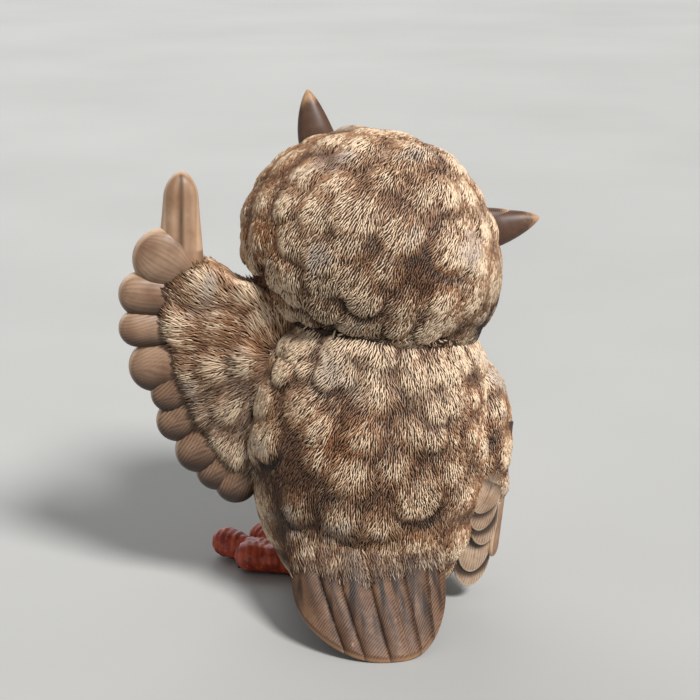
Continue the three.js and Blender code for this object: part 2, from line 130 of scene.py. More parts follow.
def ball(steps: int) -> tuple[np.ndarray, np.ndarray]:
    """Grids a ball evenly, from the six sides of a cube.

    Args:
        steps: squares along each side of the cube.

    Returns:
        Directions of length one, and quads that face outwards.
    """
    ticks = np.tan(np.linspace(-1.0, 1.0, steps + 1) * math.pi / 4.0)
    a, b = np.meshgrid(ticks, ticks, indexing="ij")
    corner = np.arange(steps)[:, None] * (steps + 1) + np.arange(steps)
    square = np.stack([corner, corner + steps + 1, corner + steps + 2, corner + 1], -1).reshape(-1, 4)
    points, quads = [], []
    for axis in range(3):
        for sign in (-1.0, 1.0):
            columns = [a, b]
            columns.insert(axis, np.full_like(a, sign))
            quads.append(square + len(points) * (steps + 1) ** 2)
            points.append(np.stack(columns, -1).reshape(-1, 3))
    loose = unit(np.concatenate(points))
    keys = np.round(loose * 1e6).astype(np.int64)
    _, first, back = np.unique(keys, axis=0, return_index=True, return_inverse=True)
    directions, faces = loose[first], back.reshape(-1)[np.concatenate(quads)]
    corners = directions[faces]
    facing = np.cross(corners[:, 1] - corners[:, 0], corners[:, 2] - corners[:, 0])
    inwards = (facing * corners.mean(1)).sum(1) < 0.0
    faces[inwards] = faces[inwards, ::-1]
    return directions, faces


def loft(rings: np.ndarray) -> tuple[np.ndarray, list[list[int]]]:
    """Skins a row of closed rings and closes both ends with fans.

    Args:
        rings: places, as ring by point by coordinate, in the order that makes faces point outwards.

    Returns:
        The points and the faces.
    """
    count, around = rings.shape[:2]
    points = np.concatenate([rings.reshape(-1, 3), rings[[0, -1]].mean(1)])
    faces: list[list[int]] = []
    for i in range(count - 1):
        for j in range(around):
            k = (j + 1) % around
            faces.append([i * around + j, i * around + k, (i + 1) * around + k, (i + 1) * around + j])
    start, end = count * around, count * around + 1
    last = (count - 1) * around
    for j in range(around):
        k = (j + 1) % around
        faces.append([start, k, j])
        faces.append([end, last + j, last + k])
    return points, faces


def mesh_piece(
    name: str,
    points: np.ndarray,
    faces: np.ndarray | Sequence[Sequence[int]],
    material: bpy.types.Material,
    marks: dict[str, np.ndarray] | None = None,
) -> bpy.types.Object:
    """Makes a smooth-shaded mesh object, with marks stored on its points.

    Args:
        name: the piece's name.
        points: its corners, in metres.
        faces: quads or triangles as an array, or a list of faces of any kind.
        material: what it wears.
        marks: a number or a vector for each point, by name.

    Returns:
        The object, linked to the scene.
    """
    mesh = bpy.data.meshes.new(name)
    if isinstance(faces, np.ndarray):
        corners = faces.shape[1]
        mesh.vertices.add(len(points))
        mesh.vertices.foreach_set("co", np.ascontiguousarray(points, np.float32).ravel())
        mesh.loops.add(faces.size)
        mesh.loops.foreach_set("vertex_index", faces.astype(np.int32).ravel())
        mesh.polygons.add(len(faces))
        mesh.polygons.foreach_set("loop_start", np.arange(0, faces.size, corners, dtype=np.int32))
        mesh.polygons.foreach_set("loop_total", np.full(len(faces), corners, np.int32))
        mesh.update(calc_edges=True)
    else:
        mesh.from_pydata(points.tolist(), [], [list(face) for face in faces])
    mesh.polygons.foreach_set("use_smooth", np.ones(len(mesh.polygons), bool))
    for key, values in (marks or {}).items():
        kind, field = ("FLOAT", "value") if values.ndim == 1 else ("FLOAT_VECTOR", "vector")
        layer = mesh.attributes.new(key, kind, "POINT")
        layer.data.foreach_set(field, np.ascontiguousarray(values, np.float32).ravel())
    mesh.materials.append(material)
    mesh.update()
    piece = bpy.data.objects.new(name, mesh)
    bpy.context.scene.collection.objects.link(piece)
    return piece


def arrays_of(mesh: bpy.types.Mesh) -> tuple[np.ndarray, np.ndarray]:
    """Reads a mesh's points and their normals."""
    points = np.empty(len(mesh.vertices) * 3, np.float32)
    normals = np.empty(len(mesh.vertices) * 3, np.float32)
    mesh.vertices.foreach_get("co", points)
    mesh.vertex_normals.foreach_get("vector", normals)
    return points.reshape(-1, 3).astype(float), normals.reshape(-1, 3).astype(float)


def mark_of(mesh: bpy.types.Mesh, name: str) -> np.ndarray:
    """Reads one number for each point of a mesh."""
    values = np.empty(len(mesh.vertices), np.float32)
    mesh.attributes[name].data.foreach_get("value", values)
    return values


def evaluated_mesh(host: bpy.types.Object) -> bpy.types.Mesh:
    """Turns what an object's modifiers make into a plain mesh."""
    graph = bpy.context.evaluated_depsgraph_get()
    return bpy.data.meshes.new_from_object(host.evaluated_get(graph))


def discard(piece: bpy.types.Object) -> None:
    """Removes a helper object and its mesh."""
    mesh = piece.data
    bpy.data.objects.remove(piece)
    bpy.data.meshes.remove(mesh)


def melted(name: str, solids: bmesh.types.BMesh, voxel: float, rounds: int) -> tuple[np.ndarray, np.ndarray]:
    """Fuses overlapping closed solids into one soft-edged body.

    Args:
        name: for the helper object.
        solids: closed solids that may overlap. It is freed.
        voxel: size of the new grid.
        rounds: how often the body is smoothed.

    Returns:
        Points and quads of the fused body.
    """
    mesh = bpy.data.meshes.new(name)
    solids.to_mesh(mesh)
    solids.free()
    host = bpy.data.objects.new(name, mesh)
    bpy.context.scene.collection.objects.link(host)
    fuse = host.modifiers.new("fuse", "REMESH")
    fuse.mode, fuse.voxel_size = "VOXEL", voxel
    soften = host.modifiers.new("soften", "SMOOTH")
    soften.factor, soften.iterations = 0.5, rounds
    result = evaluated_mesh(host)
    points, _ = arrays_of(result)
    faces = np.empty(len(result.loops), np.int32)
    result.loops.foreach_get("vertex_index", faces)
    discard(host)
    bpy.data.meshes.remove(result)
    return points, faces.reshape(-1, 4)


def normals_of(points: np.ndarray, faces: np.ndarray) -> np.ndarray:
    """Averages face normals at the points of a quad mesh."""
    corners = points[faces]
    facing = np.cross(corners[:, 2] - corners[:, 0], corners[:, 3] - corners[:, 1])
    total = np.zeros_like(points)
    for column in range(4):
        np.add.at(total, faces[:, column], facing)
    return unit(total)


def hand_over(piece: bpy.types.Object, slot: Slot, *nodes: str) -> None:
    """Sets a finished piece on the owl's body.

    Args:
        piece: the finished piece, in place.
        slot: the finish that is logged for it.
        nodes: the CAD nodes that it stands for.
    """
    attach(piece, "root")
    if nodes:
        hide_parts(*nodes)
    piece.data.calc_loop_triangles()
    LOG.info("%s: %d triangles, finish %s", piece.name, len(piece.data.loop_triangles), slot.value)


# ---------------------------------------------------------------------------------------------------
# Nodes and colours


def add_node(
    tree: bpy.types.NodeTree, kind: str, settings: dict[str, Any] | None = None, **sockets: Any
) -> bpy.types.Node:
    """Adds a node to a tree.

    Args:
        tree: the tree.
        kind: the node's Blender type.
        settings: its properties, which are set first.
        sockets: values or other nodes' outputs for its inputs, by name with _ for a space, or by index
            as _0, _1.

    Returns:
        The node.
    """
    node = tree.nodes.new(kind)
    for key, value in (settings or {}).items():
        setattr(node, key, value)
    for key, value in sockets.items():
        target = node.inputs[int(key[1:]) if key[1:].isdigit() else key.replace("_", " ")]
        if isinstance(value, bpy.types.NodeSocket):
            tree.links.new(value, target)
        else:
            target.default_value = value
    return node


def tone(red: float, green: float, blue: float) -> tuple[float, float, float, float]:
    """Turns a colour named in 0 to 255 into the linear values that shaders take."""

    def linear(channel: float) -> float:
        """Takes the display curve off one channel."""
        share = channel / 255
        return share / 12.92 if share <= 0.04045 else ((share + 0.055) / 1.055) ** 2.4

    return linear(red), linear(green), linear(blue), 1.0


class Tap:
    """A shader socket that takes part in Python expressions."""

    def __init__(self, board: Board, socket: bpy.types.NodeSocket) -> None:
        """Holds the socket and the board that it is on."""
        self.board = board
        self.socket = socket

    def __add__(self, other: Tap | float) -> Tap:
        """Adds."""
        return self.board.math("ADD", self, other)

    __radd__ = __add__

    def __sub__(self, other: Tap | float) -> Tap:
        """Subtracts."""
        return self.board.math("SUBTRACT", self, other)

    def __rsub__(self, other: float) -> Tap:
        """Subtracts from a number."""
        return self.board.math("SUBTRACT", other, self)

    def __mul__(self, other: Tap | float) -> Tap:
        """Multiplies."""
        return self.board.math("MULTIPLY", self, other)

    __rmul__ = __mul__

    def __truediv__(self, other: Tap | float) -> Tap:
        """Divides."""
        return self.board.math("DIVIDE", self, other)

    def clamp(self) -> Tap:
        """Limits to the range from 0 to 1."""
        return self.board.math("ADD", self, 0.0, clamp=True)


class Board:
    """The node tree of one material."""

    def __init__(self, name: str) -> None:
        """Starts a material with an empty tree."""
        self.material = bpy.data.materials.new(name)
        self.material.use_nodes = True
        self.tree = self.material.node_tree
        self.tree.nodes.clear()

    def node(self, kind: str, settings: dict[str, Any] | None = None, **sockets: Any) -> bpy.types.Node:
        """Adds a node, with values or taps on its inputs, as add_node names them."""
        plain = {key: value.socket if isinstance(value, Tap) else value for key, value in sockets.items()}
        return add_node(self.tree, kind, settings, **plain)

    def tap(self, node: bpy.types.Node, output: str | int = 0) -> Tap:
        """Takes a node's output."""
        return Tap(self, node.outputs[output])

    def math(self, operation: str, a: Tap | float, b: Tap | float = 0.0, clamp: bool = False) -> Tap:
        """Adds a Math node on two values."""
        settings = {"operation": operation, "use_clamp": clamp}
        return self.tap(self.node("ShaderNodeMath", settings, _0=a, _1=b))

    def mark(self, name: str) -> Tap:
        """Reads a number stored on the mesh."""
        return self.tap(self.node("ShaderNodeAttribute", {"attribute_name": name}), "Fac")

    def place(self) -> Tap:
        """Gives the place on the object, in metres."""
        return self.tap(self.node("ShaderNodeTexCoord"), "Object")

    def noise(self, size: float, detail: float = 2.0, shift: float = 0.0) -> Tap:
        """Gives a soft noise from 0 to 1 whose blotches have a size in metres."""
        start = (shift, shift, -shift)
        moved = self.tap(self.node("ShaderNodeMapping", Vector=self.place(), Location=start))
        return self.tap(self.node("ShaderNodeTexNoise", Vector=moved, Scale=1.0 / size, Detail=detail), 0)

    def step(self, value: Tap, low: float, high: float) -> Tap:
        """Eases from 0 to 1 as the value goes from low to high."""
        ramp = {"interpolation_type": "SMOOTHSTEP"}
        return self.tap(self.node("ShaderNodeMapRange", ramp, Value=value, From_Min=low, From_Max=high))

    def blend(self, share: Tap | float, a: Any, b: Any, mode: str = "MIX") -> Tap:
        """Mixes two colours."""
        settings = {"data_type": "RGBA", "blend_type": mode, "clamp_factor": True}
        return self.tap(self.node("ShaderNodeMix", settings, _0=share, _6=a, _7=b), 2)

    def bump(self, height: Tap, distance: float, strength: float = 1.0) -> Tap:
        """Turns a height from 0 to 1 into a normal."""
        return self.tap(self.node("ShaderNodeBump", Height=height, Distance=distance, Strength=strength))

    def surface(self, **sockets: Any) -> bpy.types.Material:
        """Ends the tree in a Principled shader with these inputs, and gives the material."""
        shader = self.node("ShaderNodeBsdfPrincipled", None, **sockets)
        self.node("ShaderNodeOutputMaterial", None, Surface=self.tap(shader))
        return self.material


# ---------------------------------------------------------------------------------------------------
# Finishes


@dataclass(frozen=True)
class CarvedPlumage:
    """Brown paint on carved strokes, with a dark wash and painted shade in the cuts, and cream dry-brushed
    over the crowns.
    """

    name: str = "carved_plumage"
    valley: tuple = tone(126, 86, 58)
    middle: tuple = tone(178, 134, 98)
    cream: tuple = tone(250, 222, 188)
    dark: tuple = tone(22, 13, 9)
    warm: tuple = tone(172, 114, 68)
    grey: tuple = tone(204, 188, 174)
    slate: tuple = tone(70, 56, 50)
    roughness: float = 0.5

    def material(self) -> bpy.types.Material:
        """Builds the material."""
        board = Board(self.name)
        crown, wash, tint = board.mark("crown"), board.mark("wash"), board.mark("tint")
        patch, mottle = board.noise(20 * MM, 2.0), board.noise(6 * MM, 3.0, 0.3)
        colour = board.blend(board.step(board.noise(30 * MM, 1.0, 0.7), 0.5, 0.7), self.middle, self.warm)
        colour = board.blend(board.step(crown + (mottle - 0.5) * 0.7, -0.05, 0.55), self.valley, colour)
        brushed = crown * crown * 1.2 + (patch - 0.5) * 1.3
        brushed = brushed + (tint - 0.5) * 1.3 + (mottle - 0.5) * 1.4 - 0.25
        colour = board.blend(brushed.clamp(), colour, self.cream)
        chalk = board.step(board.noise(15 * MM, 2.0, 1.9), 0.56, 0.72)
        colour = board.blend(chalk * (crown * 0.6 + 0.15), colour, self.grey)
        ink = board.step(board.noise(17 * MM, 2.0, 2.6), 0.5, 0.66)
        colour = board.blend(ink * (1.0 - crown) * 0.45, colour, self.slate)
        # The cream mark holds the belly and facial discs, and a painted highlight on the upper back.
        colour = board.blend(board.mark("cream") * (crown * 0.5 + 0.45), colour, self.cream)
        # Dark wash, together with painted shade under the clumps' lips, low on the body, low on the head and
        # under the raised wing.
        colour = board.blend((wash * 0.85 + (1.0 - tint) * 0.16).clamp(), colour, self.dark)
        # Dark wash and painted shade: each stroke darkens down its sides towards its base edges.
        sunk = 1.0 - board.step(board.mark("ridge"), 0.12, 0.78)
        colour = board.blend(sunk * 0.96, colour, self.dark)
        # Painted shade: each stroke darkens towards its root, where it dips into the skin.
        colour = board.blend((1.0 - board.mark("along")) * 0.2, colour, self.dark)
        rough = (mottle * 0.25 + (self.roughness - 0.12)).clamp()
        return board.surface(Base_Color=colour, Roughness=rough, Specular_IOR_Level=0.5)


@dataclass(frozen=True)
class PlumageGround:
    """The bottom of the cuts between the strokes, under a dark wash deepened with painted shade."""

    name: str = "plumage_ground"
    dark: tuple = tone(24, 15, 10)
    middle: tuple = tone(70, 48, 34)

    def material(self) -> bpy.types.Material:
        """Builds the material."""
        board = Board(self.name)
        grain = board.noise(3 * MM, 4.0)
        share = (board.mark("crown") * 0.6 + board.mark("cream") * 0.3 + (grain - 0.5) * 0.5).clamp()
        colour = board.blend(share, self.dark, self.middle)
        return board.surface(
            Base_Color=colour, Roughness=0.7, Specular_IOR_Level=0.25, Normal=board.bump(grain, 0.3 * MM)
        )


@dataclass(frozen=True)
class SmoothQuill:
    """Brown paint on smooth feathers: dark in the barbs and along the shaft, pale at the rim."""

    name: str = "smooth_quill"
    middle: tuple = tone(126, 92, 68)
    pale: tuple = tone(200, 168, 138)
    dark: tuple = tone(38, 26, 20)
    streak: tuple = tone(66, 48, 38)
    pale_share: float = 0.25
    dark_share: float = 0.5
    barb_share: float = 0.6
    roughness: float = 0.42

    def material(self) -> bpy.types.Material:
        """Builds the material."""
        board = Board(self.name)
        barb, rim, shaft, shade = (board.mark(key) for key in ("barb", "rim", "shaft", "shade"))
        patch, fine = board.noise(9 * MM, 3.0), board.noise(1.6 * MM, 3.0, 0.4)
        colour = board.blend((patch * 1.4 - 0.35).clamp() * self.pale_share * 2.0, self.middle, self.pale)
        colour = board.blend(barb * (patch * 0.5) * self.barb_share, colour, self.pale)
        colour = board.blend(((1.0 - barb) * (fine * 1.3) * self.barb_share).clamp(), colour, self.streak)
        colour = board.blend(shaft * (patch * 0.9 + 0.2) * self.dark_share, colour, self.dark)
        colour = board.blend(rim * (fine * 0.6 + 0.5), colour, self.pale)
        colour = board.blend((shade * 0.9).clamp(), colour, self.dark)
        rough = (fine * 0.2 + (self.roughness - 0.1)).clamp()
        return board.surface(Base_Color=colour, Roughness=rough, Specular_IOR_Level=0.35)


@dataclass(frozen=True)
class HornPaint:
    """Dark brown paint that fades to tan at the tips, with fine darker lines."""

    name: str = "horn_paint"
    dark: tuple = tone(52, 34, 26)
    middle: tuple = tone(118, 84, 62)
    tip: tuple = tone(192, 150, 112)
    roughness: float = 0.45

    def material(self) -> bpy.types.Material:
        """Builds the material."""
        board = Board(self.name)
        fine = board.noise(2.2 * MM, 3.0)
        colour = board.blend(board.mark("barb") * 0.7 + (fine - 0.5) * 0.5, self.dark, self.middle)
        faded = board.step(board.mark("along") + (fine - 0.5) * 0.3, 0.7, 1.05)
        colour = board.blend(faded, colour, self.tip)
        return board.surface(Base_Color=colour, Roughness=self.roughness, Specular_IOR_Level=0.4)


@dataclass(frozen=True)
class FootPaint:
    """Orange-red paint, speckled and brushed, with painted shade near the ground and in the creases."""

    name: str = "foot_paint"
    orange: tuple = tone(190, 78, 44)
    red: tuple = tone(140, 38, 22)
    pale: tuple = tone(206, 132, 100)
    dark: tuple = tone(60, 22, 16)
    ground_shade_height: float = 2.2 * MM

    def material(self) -> bpy.types.Material:
        """Builds the material."""
        board = Board(self.name)
        blotch, speck = board.noise(3.5 * MM, 4.0), board.noise(0.9 * MM, 2.0, 0.5)
        colour = board.blend(board.step(blotch, 0.35, 0.65), self.red, self.orange)
        colour = board.blend(board.step(speck, 0.55, 0.75) * 0.5, colour, self.pale)
        height = board.tap(board.node("ShaderNodeSeparateXYZ", None, Vector=board.place()), "Z")
        # Painted shade: darker near the ground and in the creases of the toes.
        colour = board.blend(1.0 - board.step(height, 0.0, self.ground_shade_height), colour, self.dark)
        colour = board.blend(board.mark("crease"), colour, self.dark)
        pores = board.bump(speck, 0.12 * MM, 0.6)
        return board.surface(Base_Color=colour, Roughness=0.42, Specular_IOR_Level=0.45, Normal=pores)


@dataclass(frozen=True)
class BeakPaint:
    """Ochre paint, darker where it leaves the face."""

    name: str = "beak_paint"
    ochre: tuple = tone(206, 150, 66)
    root: tuple = tone(96, 62, 30)
    tip: tuple = tone(70, 52, 40)

    def material(self) -> bpy.types.Material:
        """Builds the material."""
        board = Board(self.name)
        along, fine = board.mark("along"), board.noise(2 * MM, 3.0)
        colour = board.blend(board.step(along + (fine - 0.5) * 0.2, 0.15, 0.45), self.root, self.ochre)
        colour = board.blend(board.step(along, 0.8, 1.0), colour, self.tip)
        return board.surface(Base_Color=colour, Roughness=0.38, Specular_IOR_Level=0.5)


@dataclass(frozen=True)
class IrisPaint:
    """A painted eye: a black pupil in an amber ring with fine spokes and a dark rim."""

    name: str
    centre: tuple[float, float, float]
    radius: float
    amber: tuple = tone(232, 158, 38)
    rust: tuple = tone(150, 70, 20)
    black: tuple = tone(10, 8, 8)

    def material(self) -> bpy.types.Material:
        """Builds the material."""
        board = Board(self.name)
        less, size = {"operation": "SUBTRACT"}, {"operation": "LENGTH"}
        moved = board.node("ShaderNodeVectorMath", less, _0=board.place(), _1=self.centre)
        out = board.node("ShaderNodeVectorMath", size, _0=board.tap(moved))
        away = board.tap(out, "Value") / self.radius
        spokes = board.noise(1.1 * MM, 2.0)
        colour = board.blend(board.step(away + (spokes - 0.5) * 0.3, 0.55, 0.9), self.amber, self.rust)
        colour = board.blend(board.step(away, 0.9, 0.97), colour, self.black)
        colour = board.blend(1.0 - board.step(away, 0.47, 0.52), colour, self.black)
        return board.surface(Base_Color=colour, Roughness=0.3)


@dataclass(frozen=True)
class ClearGlass:
    """Clear polished glass, with the faintest streaks in its gloss."""

    name: str = "clear_glass"

    def material(self) -> bpy.types.Material:
        """Builds the material."""
        board = Board(self.name)
        rough = board.noise(6 * MM, 2.0) * 0.04 + 0.01
        return board.surface(
            Base_Color=(0.96, 0.97, 0.97, 1.0), Roughness=rough, IOR=1.45, Transmission_Weight=1.0
        )


@dataclass(frozen=True)
class DrawnSteel:
    """Plain steel rod with faint drawing lines."""

    name: str = "drawn_steel"

    def material(self) -> bpy.types.Material:
        """Builds the material."""
        board = Board(self.name)
        grain = board.noise(0.8 * MM, 3.0)
        colour = board.blend(grain, tone(150, 152, 156), tone(200, 202, 205))
        return board.surface(Base_Color=colour, Roughness=grain * 0.25 + 0.25, Metallic=1.0)


@dataclass(frozen=True)
class BareResin:
    """Unpainted cream resin with a faint pour texture."""

    name: str = "bare_resin"

    def material(self) -> bpy.types.Material:
        """Builds the material."""
        board = Board(self.name)
        cloud = board.noise(5 * MM, 4.0)
        colour = board.blend(cloud, tone(196, 188, 170), tone(222, 214, 198))
        return board.surface(Base_Color=colour, Roughness=0.55, Normal=board.bump(cloud, 0.2 * MM, 0.4))


@dataclass(frozen=True)
class WoolFelt:
    """Dark green pressed wool."""

    name: str = "wool_felt"

    def material(self) -> bpy.types.Material:
        """Builds the material."""
        board = Board(self.name)
        fibre = board.noise(0.7 * MM, 5.0)
        colour = board.blend(fibre, tone(22, 40, 28), tone(54, 78, 58))
        return board.surface(
            Base_Color=colour, Roughness=0.95, Sheen_Weight=0.4, Normal=board.bump(fibre, 0.3 * MM, 0.8)
        )


# ---------------------------------------------------------------------------------------------------
# Carved plumage


@dataclass(frozen=True)
class Clumps:
    """Overlapping clumps of plumage: where each one sits, how it hangs, how wide and how high it is."""

    centres: np.ndarray
    hangs: np.ndarray
    radii: np.ndarray
    heights: np.ndarray
    crispness: np.ndarray

    def relief(self, points: np.ndarray) -> dict[str, np.ndarray]:
        """Works out what the clumps do at some points.

        Args:
            points: places on the bare form.

        Returns:
            lift in metres, crown and the dark wash with painted shade from 0 to 1, and the sideways splay of
            the strokes.
        """
        lift, crown, wash = (np.zeros(len(points)) for _ in range(3))
        splay = np.zeros_like(points)
        rows = zip(self.centres, self.hangs, self.radii, self.heights, self.crispness)
        for centre, hang, radius, height, crisp in rows:
            near = np.flatnonzero(((points - centre) ** 2).sum(1) < (1.5 * radius) ** 2)
            offset = (points[near] - centre) / radius
            below = offset @ hang
            sideways = offset - below[:, None] * hang
            from_crown = np.hypot(np.maximum(below, 0.0) * 1.05, np.linalg.norm(sideways, axis=1))
            width = 1.0 - 0.62 * crisp
            edge = 1.0 - smooth((from_crown - 1.0 + width) / width)
            value = edge * (1.0 - smooth(-below / (1.25 + 0.2 * crisp)))
            higher = value * height > lift[near]
            taller = near[higher]
            lift[taller] = value[higher] * height
            crown[taller] = value[higher]
            splay[taller] = sideways[higher] * (0.4 + smooth(below[higher] + 0.6))[:, None]
            # Dark wash and painted shade just under each crisp clump's lower lip.
            lip = np.clip(1.0 - np.abs(from_crown - 0.98) / 0.28, 0.0, 1.0) * smooth(below * 2.2) * crisp
            wash[near] = np.maximum(wash[near], lip)
        return {"lift": lift, "crown": crown, "wash": wash * (1.0 - 0.8 * crown), "splay": splay}

    def joined(self, other: Clumps) -> Clumps:
        """Adds other clumps to these."""
        names = ("centres", "hangs", "radii", "heights", "crispness")
        return Clumps(*(np.concatenate([getattr(self, name), getattr(other, name)]) for name in names))


def clumps_at(
    spots: np.ndarray, hangs: np.ndarray, radius: float, height: float, crisp_share: float, seed: int
) -> Clumps:
    """Makes clumps of uneven size and crispness.

    Args:
        spots: where they sit.
        hangs: which way each hangs.
        radius: their usual radius.
        height: their usual height.
        crisp_share: how many of them end in a sharp lower lip.
        seed: picks the differences.

    Returns:
        The clumps.
    """
    rng = np.random.default_rng(seed)
    count = len(spots)
    chosen = rng.uniform(size=count) < crisp_share
    sharp, soft = rng.uniform(0.7, 1.0, count), rng.uniform(0.0, 0.35, count)
    radii, heights = radius * rng.uniform(0.86, 1.14, count), height * rng.uniform(0.6, 1.15, count)
    return Clumps(spots, hangs, radii, heights, np.where(chosen, sharp, soft))


def lattice(
    halves: np.ndarray, top: float, bottom: float, pitch: float, seed: int
) -> tuple[np.ndarray, np.ndarray]:
    """Spreads places over an ellipsoid in staggered rows.

    Args:
        halves: the ellipsoid's half sizes.
        top: angle from the pole of the first row, in radians.
        bottom: angle of the last row.
        pitch: distance between neighbours.
        seed: of the small shifts.

    Returns:
        The places, relative to the middle, and for each the way down the surface.
    """
    row_share, slack_along, slack_down = 0.86, 0.28, 0.34  # of the pitch
    rng = np.random.default_rng(seed)
    rows = round((bottom - top) * halves.mean() / (row_share * pitch)) + 1
    places = []
    for row, angle in enumerate(np.linspace(top, bottom, rows)):
        ring = math.sin(angle) * halves[:2].mean()
        count = max(3, round(2.0 * math.pi * ring / pitch))
        steps = np.arange(count) + 0.5 * (row % 2) + rng.uniform(-slack_along, slack_along, count)
        turns = steps / count * 2.0 * math.pi
        tilt = angle + rng.uniform(-slack_down, slack_down, count) * pitch / halves.mean()
        across, behind = np.sin(tilt) * np.cos(turns), np.sin(tilt) * np.sin(turns)
        places.append(np.stack([across, behind, np.cos(tilt)], -1))
    spots = np.concatenate(places)
    downs = unit(tangent(np.tile(-UP, (len(spots), 1)), unit(spots / halves)))
    return spots * halves, downs


class Stroke:
    """One cut stroke: a low closed ridge with a blunt root and a sharp tip, one unit long and wide."""

    stations = ((0.25, 0.95, 0.9), (0.66, 0.85, 0.9))  # along, width, height

    def __init__(self) -> None:
        """Works out the ridge's points, triangles, marks and the layout of its bake map."""
        points, ridge, along = [(0.0, 0.0, -0.3)], [0.1], [0.0]
        for at, width, height in self.stations:
            for side, rise in ((-0.5, -0.45), (0.5, -0.45), (0.0, 1.0)):
                points.append((side * width, at, rise * height if rise > 0 else rise))
                ridge.append(1.0 if rise > 0 else 0.0)
                along.append(at)
        points.append((0.0, 1.0, 0.1))
        ridge.append(0.7)
        along.append(1.0)
        self.points = np.array(points) - np.array([0.0, 0.35, 0.0])
        self.ridge, self.along = np.array(ridge), np.array(along)
        triangles, layout = [], []
        last, belts = len(points) - 1, len(self.stations)
        band = 1.0 / (belts + 1)
        for j in range(3):
            k = (j + 1) % 3
            low, high = j / 3.0, (j + 1) / 3.0
            triangles.append((0, 1 + k, 1 + j))
            layout.append(((0.0, (low + high) / 2), (band, high), (band, low)))
            for i in range(belts - 1):
                a, b, c, d = 1 + 3 * i + j, 1 + 3 * i + k, 4 + 3 * i + k, 4 + 3 * i + j
                near, far = band * (i + 1), band * (i + 2)
                triangles += [(a, b, c), (a, c, d)]
                layout.append(((near, low), (near, high), (far, high)))
                layout.append(((near, low), (far, high), (far, low)))
            triangles.append((last, last - 3 + j, last - 3 + k))
            layout.append(((1.0, (low + high) / 2), (1.0 - band, low), (1.0 - band, high)))
        self.triangles, self.layout = np.array(triangles), np.array(layout)
        corners = self.points[self.triangles]
        facing = np.cross(corners[:, 1] - corners[:, 0], corners[:, 2] - corners[:, 0])
        if (facing * (corners.mean(1) - self.points.mean(0))).sum() < 0.0:
            self.triangles, self.layout = self.triangles[:, ::-1], self.layout[:, ::-1]

    def template(self, material: bpy.types.Material) -> bpy.types.Object:
        """Makes the ridge as an object for the tree to repeat."""
        marks = {"ridge": self.ridge, "along": self.along}
        return mesh_piece("stroke_template", self.points, self.triangles, material, marks)

    def pieces(
        self,
        name: str,
        mesh: bpy.types.Mesh,
        material: bpy.types.Material,
        floor: float,
        parts: Sequence[str],
    ) -> list[bpy.types.Object]:
        """Splits realized strokes into pieces by where they are, each with its own bake map.

        Args:
            name: what the pieces' names start with.
            mesh: the realized strokes.
            material: what they wear.
            floor: no point goes below this height.
            parts: the pieces' last names: one, or the back and the front.

        Returns:
            The pieces.
        """
        size = len(self.points)
        points, _ = arrays_of(mesh)
        points[:, 2] = np.maximum(points[:, 2], floor)
        points = points.reshape(-1, size, 3)
        keys = ("crown", "wash", "cream", "tint", "ridge", "along")
        marks = {key: mark_of(mesh, key).reshape(-1, size) for key in keys}
        behind = points[:, :, 1].mean(1) > np.median(points[:, :, 1].mean(1))
        chosen = [behind, ~behind] if len(parts) > 1 else [np.ones(len(points), bool)]
        made = []
        for part, mask in zip(parts, chosen):
            count = int(mask.sum())
            faces = (self.triangles[None] + np.arange(count)[:, None, None] * size).reshape(-1, 3)
            taken = {key: values[mask].ravel() for key, values in marks.items()}
            piece = mesh_piece(f"{name}_{part}", points[mask].reshape(-1, 3), faces, material, taken)
            columns = math.ceil(math.sqrt(count))
            cells = np.stack([np.arange(count) % columns, np.arange(count) // columns], -1)
            layout = (self.layout.reshape(1, -1, 2) * 0.8 + 0.1 + cells[:, None]) / columns
            piece.data.uv_layers.new(name="OFBake").data.foreach_set("uv", layout.astype(np.float32).ravel())
            made.append(piece)
        return made


